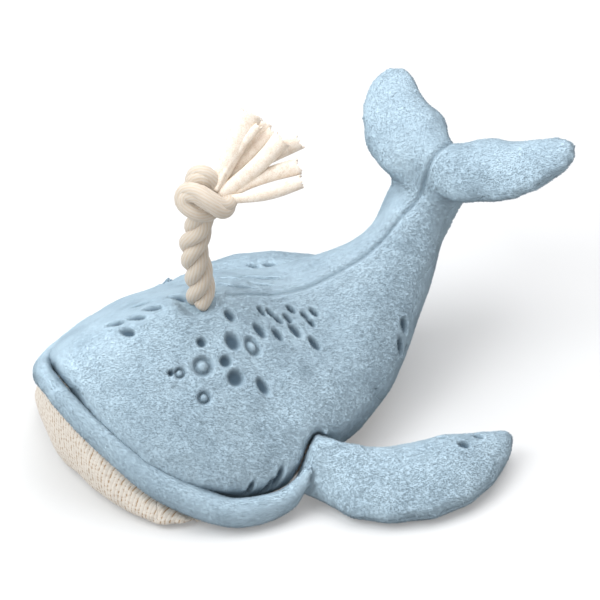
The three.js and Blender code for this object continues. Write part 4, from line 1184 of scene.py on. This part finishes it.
class WHALE_OT_tassel(bpy.types.Operator):
    """Cuts the jersey strips of the tassel, which curl in at their edges."""
    bl_idname = "whale.tassel"
    bl_label = "Cut the tassel"

    def execute(self, context):
        colours = context.scene.whale_colours
        jersey = spun_material("Cut cotton jersey", colours.jersey, colours.jersey_shade, jersey_grain)
        for number, shares in enumerate(strip_shares):
            strip = self.strip(context.scene.whale_rope, number, *shares)
            finished(strip, jersey, [f"tassel_strip_{number + 1}"], body="spout")
        return {"FINISHED"}

    def strip(self, sizes, number, turn, part, breadth, place, bow, curl, twist):
        """One strip: a band that is gathered at the knot and rolls in along both edges."""
        right, up, front = knot_axes()
        angle, middle_angle = turn * math.pi / 2, middle_strip[0] * math.pi / 2
        aim = right * math.cos(angle) + up * math.sin(angle)
        sideways = up * math.cos(middle_angle) - right * math.sin(middle_angle)
        fan = (turn - middle_strip[0]) / (strip_shares[0][0] - strip_shares[-1][0])
        start = knot_place(*strip_start)
        layer = place - (len(strip_shares) - 1) / 2
        tip = start + aim * part * sizes.strip_length + front * layer * tip_layer
        root = start + sideways * fan * sizes.bundle - aim * strip_sunk + front * layer * root_layer
        aim = (tip - root).normalized()
        wide = front.cross(aim).normalized()
        rng = np.random.default_rng(number)
        fray = rng.uniform(*fray_range, strip_columns) * mm
        spread = np.linspace(-1, 1, strip_columns)
        co = []
        for i in range(strip_rows):
            t = i / (strip_rows - 1)
            centre = root.lerp(tip, t) + wide * bow * sizes.strip_length * math.sin(math.pi * t)
            centre += front * strip_wave * math.sin(3 * t + number)
            half = breadth * sizes.strip_width / 2 * (gathered_width + (1 - gathered_width) * min(1, t * 2))
            # The curl opens a little towards the tip and waves on the way. The band is flat in its middle
            # and rolls up towards its edges.
            roll = -curl * (1.2 - 0.3 * t + 0.12 * math.sin(6 * t + number))
            slope = roll * np.sign(spread) * np.abs(spread) ** 1.4
            across = np.cumsum(np.cos(slope)) * 2 * half / strip_columns
            lift = np.cumsum(np.sin(slope)) * 2 * half / strip_columns
            across -= across[strip_columns // 2]
            lift -= lift.min()
            tilt = twist * (t - 0.3) + 0.25 * math.sin(2.3 * t + 2 * number)
            flat = wide * math.cos(tilt) + front * math.sin(tilt)
            out = front * math.cos(tilt) - wide * math.sin(tilt)
            frayed = max(0, t - fray_start) / (1 - fray_start)
            for j in range(strip_columns):
                co.append(list(centre + flat * across[j] + out * lift[j] + aim * fray[j] * frayed))
        starts = [i * strip_columns + j for i in range(strip_rows - 1) for j in range(strip_columns - 1)]
        faces = [[a, a + 1, a + strip_columns + 1, a + strip_columns] for a in starts]
        obj = mesh_object(f"tassel_jersey_{number + 1}", co, faces)
        solid = obj.modifiers.new("Thickness", "SOLIDIFY")
        solid.thickness = sizes.strip_thickness
        solid.offset = 0
        mesh = baked(obj)
        obj.modifiers.clear()
        obj.data = mesh
        return obj


# Size of the first quads of the smaller pieces.
lip_voxel = 2.5 * mm
flipper_voxel = 3 * mm
fibre_voxel = 4 * mm

# How far the lip's lower and upper edges are drawn up over the head, and where that starts and ends, in
# degrees from straight ahead.
lip_rise = 3.5 * mm
lip_flap = 7 * mm
head_slope = math.radians(35)
lip_start = 5
lip_end = 75
# How far a point of the roll faces up the head where it moves with the lower and with the upper edge.
lip_faces = (-0.5, 0.7)

# On the whale's right the stock narrows before the fluke and widens into it; on its left the skin is
# drawn in where the stock bends. Each is how far it reaches out, how far behind the hinge it lies and how
# long it is, and the bend slants them.
fluke_flare = (6 * mm, 40 * mm, 11 * mm)
stock_waist = (-3 * mm, 18 * mm, 12 * mm)
stock_bend = (-5 * mm, 32 * mm, 12 * mm)
spine_slant = 0.48
# The roots of the flukes: where their smoothing fades out beside the spine, where it starts and ends
# behind the hinge, and half the stock's width.
root_side = (36 * mm, 56 * mm)
root_start = (4 * mm, 18 * mm)
root_end = (64 * mm, 80 * mm)
stock_half = 18 * mm

# Rounds of smoothing of each skin.
fluke_rounds = 3
trunk_rounds = 14
root_rounds = 400
lip_rounds = 8
flipper_rounds = 5
fibre_rounds = 6
# Where fluke turns into trunk for the smoothing and for the seams, along the body from the hinge.
stock_band = (-45 * mm, -20 * mm)
rim_band = (-42 * mm, -30 * mm)

# The mouth round the rope: how deep under the rope's foot the back reaches, the ring of skin that gives
# its level, and the distances at which the skin is at that level and at its own.
mouth_depth = 12 * mm
mouth_ring = (12 * mm, 16 * mm)
mouth_closed = (8 * mm, 14 * mm)
# How far the plush goes on behind the lip.
lip_cover = 14 * mm

# How far side seams draw in, as shares of a seam, on the flukes and on the trunk, and how far from the
# spine a seam is one of them.
fluke_seam = 0.15
side_seam = 0.6
spine_half = 10 * mm
# The seam round the tail's under panel is faint: its share, and how far its effect goes.
faint_seam = 0.25
faint_band = (2 * mm, 8 * mm)
# How far the skin is tucked in under the lip, as a share of a seam.
lip_tuck = 0.6
# How dark the painted shade is, as shares of pressed plush: in seam valleys, on the dorsal line, which is
# partly the seam's own dark line, in the tuck under the lip, along the lip and along the flipper seams.
valley_shade = 0.25
dorsal_shade = 0.5
tuck_shade = 0.7
lip_shade = 0.6
flipper_shade = 0.4
# The widths of the painted shade along the lip's join with the head and of the flipper seams' dark lines.
lip_line = 1.5 * mm
flipper_line = 1.2 * mm
# The seams of the flippers and the lumps of small pieces, as shares of the body's.
flipper_seam = 0.2
lip_lumps = 0.5
flipper_lumps = 0.6


class WHALE_OT_body(bpy.types.Operator):
    """Sews the plush and knit skins round trunk and tail."""
    bl_idname = "whale.body"
    bl_label = "Sew the body"

    panels = [("back_plush", ["back_panel", "tail_top_panel_left", "tail_top_panel_right"]),
              ("tail_under_plush", ["tail_under_panel"]),
              ("jaw_knit", ["jaw_panel"]),
              ("belly_knit", ["belly_panel"])]

    def execute(self, context):
        scene = context.scene
        sizes = scene.whale_skin
        names = [name for _, nodes in self.panels for name in nodes]
        co, quads = remeshed(names + ["body_filling", "tail_filling", "spout_anchor"], sizes.voxel)
        # The thin flukes keep more of their shape than the thick trunk.
        thick = eased(co[:, 0] - joint_at["tail_lift"].x, *stock_band)[:, None]
        co = faired(co, quads, fluke_rounds) * (1 - thick) + faired(co, quads, trunk_rounds) * thick
        co = self.closed_at_rope(self.flared(co, quads))
        co = stuffed(co, quads, sizes)
        co, quads = subdivided(co, quads, 2)
        owner = [number for number, (_, nodes) in enumerate(self.panels) for _ in nodes]
        centres = co[quads].mean(1)
        panel = np.array(owner)[nearest_node(centres, names)]
        panel[self.behind_lip(centres)] = 0
        seams = seam_pairs(quads, panel)
        co = seams_straightened(co, quads, seams)
        co = lumpy(co, quads, sizes.lump, seed=1)
        under = seam_pairs(quads, panel == 1)
        co, seam_shade = self.creased(co, quads, seams, under, sizes)
        co, press_shade = marked(co, quads, scene.whale_view, marks)
        press_shade = np.maximum(press_shade, seam_shade)
        co = above_ground(snout_drawn_in(co))
        for number, (name, nodes) in enumerate(self.panels):
            across = None if name == "jaw_knit" else tail_span()
            sew(scene, name, co, quads[panel == number], press_shade, nodes, nap_back, across=across)
        return {"FINISHED"}

    def flared(self, co, quads):
        """Smooths the roots of the flukes, and narrows the stock where it bends and before the flukes."""
        side = co[:, 1] - ground.y - spine_side(co[:, 0] - ground.x)
        along = joint_at["tail_lift"].x - co[:, 0] - spine_slant * side
        inner = 1 - eased(np.abs(side), *root_side)
        roots = (inner * eased(along, *root_start) * (1 - eased(along, *root_end)))[:, None]
        co = co * (1 - roots) + faired(co, quads, root_rounds) * roots
        flare, waist, bend = (far * bell(along - place, width)
                              for far, place, width in (fluke_flare, stock_waist, stock_bend))
        reach = inner * np.where(side > 0, bend, flare + waist) * np.clip(side / stock_half, -1, 1)
        return np.stack([co[:, 0], co[:, 1] + reach, co[:, 2]], 1)

    def closed_at_rope(self, co):
        """Brings the skin up round the rope's foot."""
        r = np.hypot(co[:, 0] - foot.x, co[:, 1] - foot.y)
        top = co[:, 2] > foot.z - mouth_depth
        level = co[top & (r > mouth_ring[0]) & (r < mouth_ring[1]), 2].mean()
        near = np.where(top, 1 - eased(r, *mouth_closed), 0)
        return np.stack([co[:, 0], co[:, 1], co[:, 2] + near * (level - co[:, 2])], 1)

    def behind_lip(self, centres):
        """Which faces carry the plush on behind the lip, where the knit is sewn to it out of sight."""
        return (gap_to(centres, ["lip_roll"]) < lip_cover) & (gap_to(centres, ["back_panel"]) < lip_flap)

    def creased(self, co, quads, seams, faint, sizes):
        """Draws the skin in along its seams and under the lip, and gives the painted shade of the seams and
        the tuck.
        """
        normal = normals_of(co, quads)
        gap = distances(co, co[np.unique(seams)])
        ridge = np.where(normal[:, 2] > 0, dorsal_distance(co), 1)
        line = bell(ridge, dorsal_line)
        gap = np.minimum(gap, ridge * sizes.seam_width / dorsal_valley)
        lip_gap = np.maximum(gap_to(co, ["lip_roll"]) - mm, 0)
        # A fluke's rim seam stands out and isn't drawn in.
        trunk = eased(co[:, 0] - joint_at["tail_lift"].x, *rim_band)
        beside = np.abs(co[:, 1] - ground.y - spine_side(co[:, 0] - ground.x)) > spine_half
        side_part = fluke_seam + (side_seam - fluke_seam) * trunk
        faint_part = faint_seam + (1 - faint_seam) * eased(distances(co, co[np.unique(faint)]), *faint_band)
        valley = bell(gap, sizes.seam_width) * np.where(beside, side_part, 1) * faint_part
        tuck = bell(lip_gap, 2 * sizes.seam_width)
        co = co - normal * (sizes.seam_depth * np.maximum(valley, lip_tuck * tuck))[:, None]
        # Painted shade in the seam valleys and in the tuck under the lip; the dorsal seam's dark line is
        # partly its own and partly painted shade.
        dark = np.maximum(valley_shade * valley ** 3, dorsal_shade * line)
        return co, np.maximum(dark, tuck_shade * tuck ** 4)


class WHALE_OT_lip(bpy.types.Operator):
    """Sews the padded lip roll."""
    bl_idname = "whale.lip"
    bl_label = "Sew the lip"

    def execute(self, context):
        scene = context.scene
        co, quads = remeshed(["lip_roll"], lip_voxel)
        co, quads = subdivided(faired(co, quads, lip_rounds), quads, 1)
        co = self.drawn_up(co, quads)
        co = lumpy(co, quads, lip_lumps * scene.whale_skin.lump, seed=2)
        # Painted shade along the lip where it meets the head.
        press_shade = lip_shade * bell(gap_to(co, ["back_panel"]), lip_line)
        co = above_ground(snout_drawn_in(co))
        sew(scene, "lip_plush", co, quads, press_shade, ["lip_roll"], nap_lip)
        return {"FINISHED"}

    def drawn_up(self, co, quads):
        """Draws the roll up over the head between the snout and the corners of the mouth."""
        normal = normals_of(co, quads)
        out = co - np.array([ground.x, ground.y, 0])
        out[:, 2] = 0
        turn = np.degrees(np.arctan2(np.abs(out[:, 1]), out[:, 0]))
        part = np.sin(np.pi * np.clip((turn - lip_start) / (lip_end - lip_start), 0, 1))
        out /= np.linalg.norm(out, axis=1, keepdims=True)
        move = np.array([0, 0, math.cos(head_slope)]) - out * math.sin(head_slope)
        upper = eased((normal * move).sum(1), *lip_faces)
        return co + move * (part * (lip_rise + (lip_flap - lip_rise) * upper))[:, None]


class WHALE_OT_flippers(bpy.types.Operator):
    """Sews the two flippers, each from a top and an under panel."""
    bl_idname = "whale.flippers"
    bl_label = "Sew the flippers"

    def execute(self, context):
        scene = context.scene
        sizes = scene.whale_skin
        for side in ("left", "right"):
            body = f"flipper_{side}"
            names = [f"{body}_top_panel", f"{body}_under_panel"]
            co, quads = remeshed(names + [f"{body}_filling"], flipper_voxel)
            co = stuffed(faired(co, quads, flipper_rounds), quads, sizes)
            co, quads = subdivided(co, quads, 2)
            panel = nearest_node(co[quads].mean(1), names)
            seams = seam_pairs(quads, panel)
            co = seams_straightened(co, quads, seams)
            gap = distances(co, co[np.unique(seams)])
            depth = flipper_seam * sizes.seam_depth * bell(gap, sizes.seam_width)
            co = co - normals_of(co, quads) * depth[:, None]
            co = lumpy(co, quads, flipper_lumps * sizes.lump, seed=3)
            co, press_shade = marked(co, quads, scene.whale_view, flipper_marks)
            # A dark line along the seams, partly the seam's own line and partly painted shade in its crease.
            press_shade = np.maximum(press_shade, flipper_shade * bell(gap, flipper_line))
            co = above_ground(co)
            for number, name in enumerate(names):
                sew(scene, name.replace("panel", "plush"), co, quads[panel == number], press_shade, [name],
                    nap_flipper, body=body)
        return {"FINISHED"}


fillings = {"body_filling": "trunk", "tail_filling": "tail", "flipper_left_filling": "flipper_left",
            "flipper_right_filling": "flipper_right"}
fibre_inset = 3.5 * mm
# The grain of the fibres and of the rope's cut end.
fibre_grain = 1.5 * mm
stub_grain = 0.8 * mm


class WHALE_OT_inside(bpy.types.Operator):
    """Gives the hidden filling and the rope's hidden end their fibres."""
    bl_idname = "whale.inside"
    bl_label = "Fill the whale"

    def execute(self, context):
        colours = context.scene.whale_colours
        fibre = spun_material("Loose polyester fibre", colours.filling, colours.knit_fleck, fibre_grain)
        stub = spun_material("Cotton rope stub", colours.rope, colours.rope_shade, stub_grain)
        for name, body in fillings.items():
            co, quads = remeshed([name], fibre_voxel)
            co = faired(co, quads, fibre_rounds)
            # The fibre keeps clear of the skins, also where a seam draws them in.
            co = co - normals_of(co, quads) * fibre_inset
            obj = mesh_object(name.replace("filling", "fibre"), co, quads)
            finished(obj, fibre, [name], body=body)
        anchor = frame["nodes"]["spout_anchor"].data
        anchor.materials.clear()
        anchor.materials.append(stub)
        return {"FINISHED"}


class WHALE_PT_sidebar(bpy.types.Panel):
    """The sidebar's list of the whale's pieces, with their sizes and colours."""
    bl_idname = "WHALE_PT_sidebar"
    bl_label = "Plush whale"
    bl_space_type = "VIEW_3D"
    bl_region_type = "UI"
    bl_category = "Whale"

    def draw(self, context):
        for group in ("whale_skin", "whale_rope", "whale_colours", "whale_view"):
            values = getattr(context.scene, group)
            box = self.layout.box()
            for key in values.__annotations__:
                box.prop(values, key)
        for operator in operators:
            self.layout.operator(operator.bl_idname)


groups = {"whale_skin": WhaleSkinSizes, "whale_rope": WhaleRopeSizes, "whale_colours": WhaleColours,
          "whale_view": WhaleView}
operators = [WHALE_OT_stage, WHALE_OT_tassel, WHALE_OT_rope, WHALE_OT_body, WHALE_OT_lip, WHALE_OT_flippers,
             WHALE_OT_inside]


def register():
    for name, group in groups.items():
        bpy.utils.register_class(group)
        setattr(bpy.types.Scene, name, bpy.props.PointerProperty(type=group))
    for kind in [*operators, WHALE_PT_sidebar]:
        bpy.utils.register_class(kind)


def unregister():
    for kind in reversed([*operators, WHALE_PT_sidebar]):
        bpy.utils.unregister_class(kind)
    for name, group in groups.items():
        delattr(bpy.types.Scene, name)
        bpy.utils.unregister_class(group)


def main():
    """Makes every piece in order."""
    register()
    for operator in operators:
        getattr(bpy.ops.whale, operator.bl_idname.split(".")[1])()


if __name__ == "__main__":
    main()
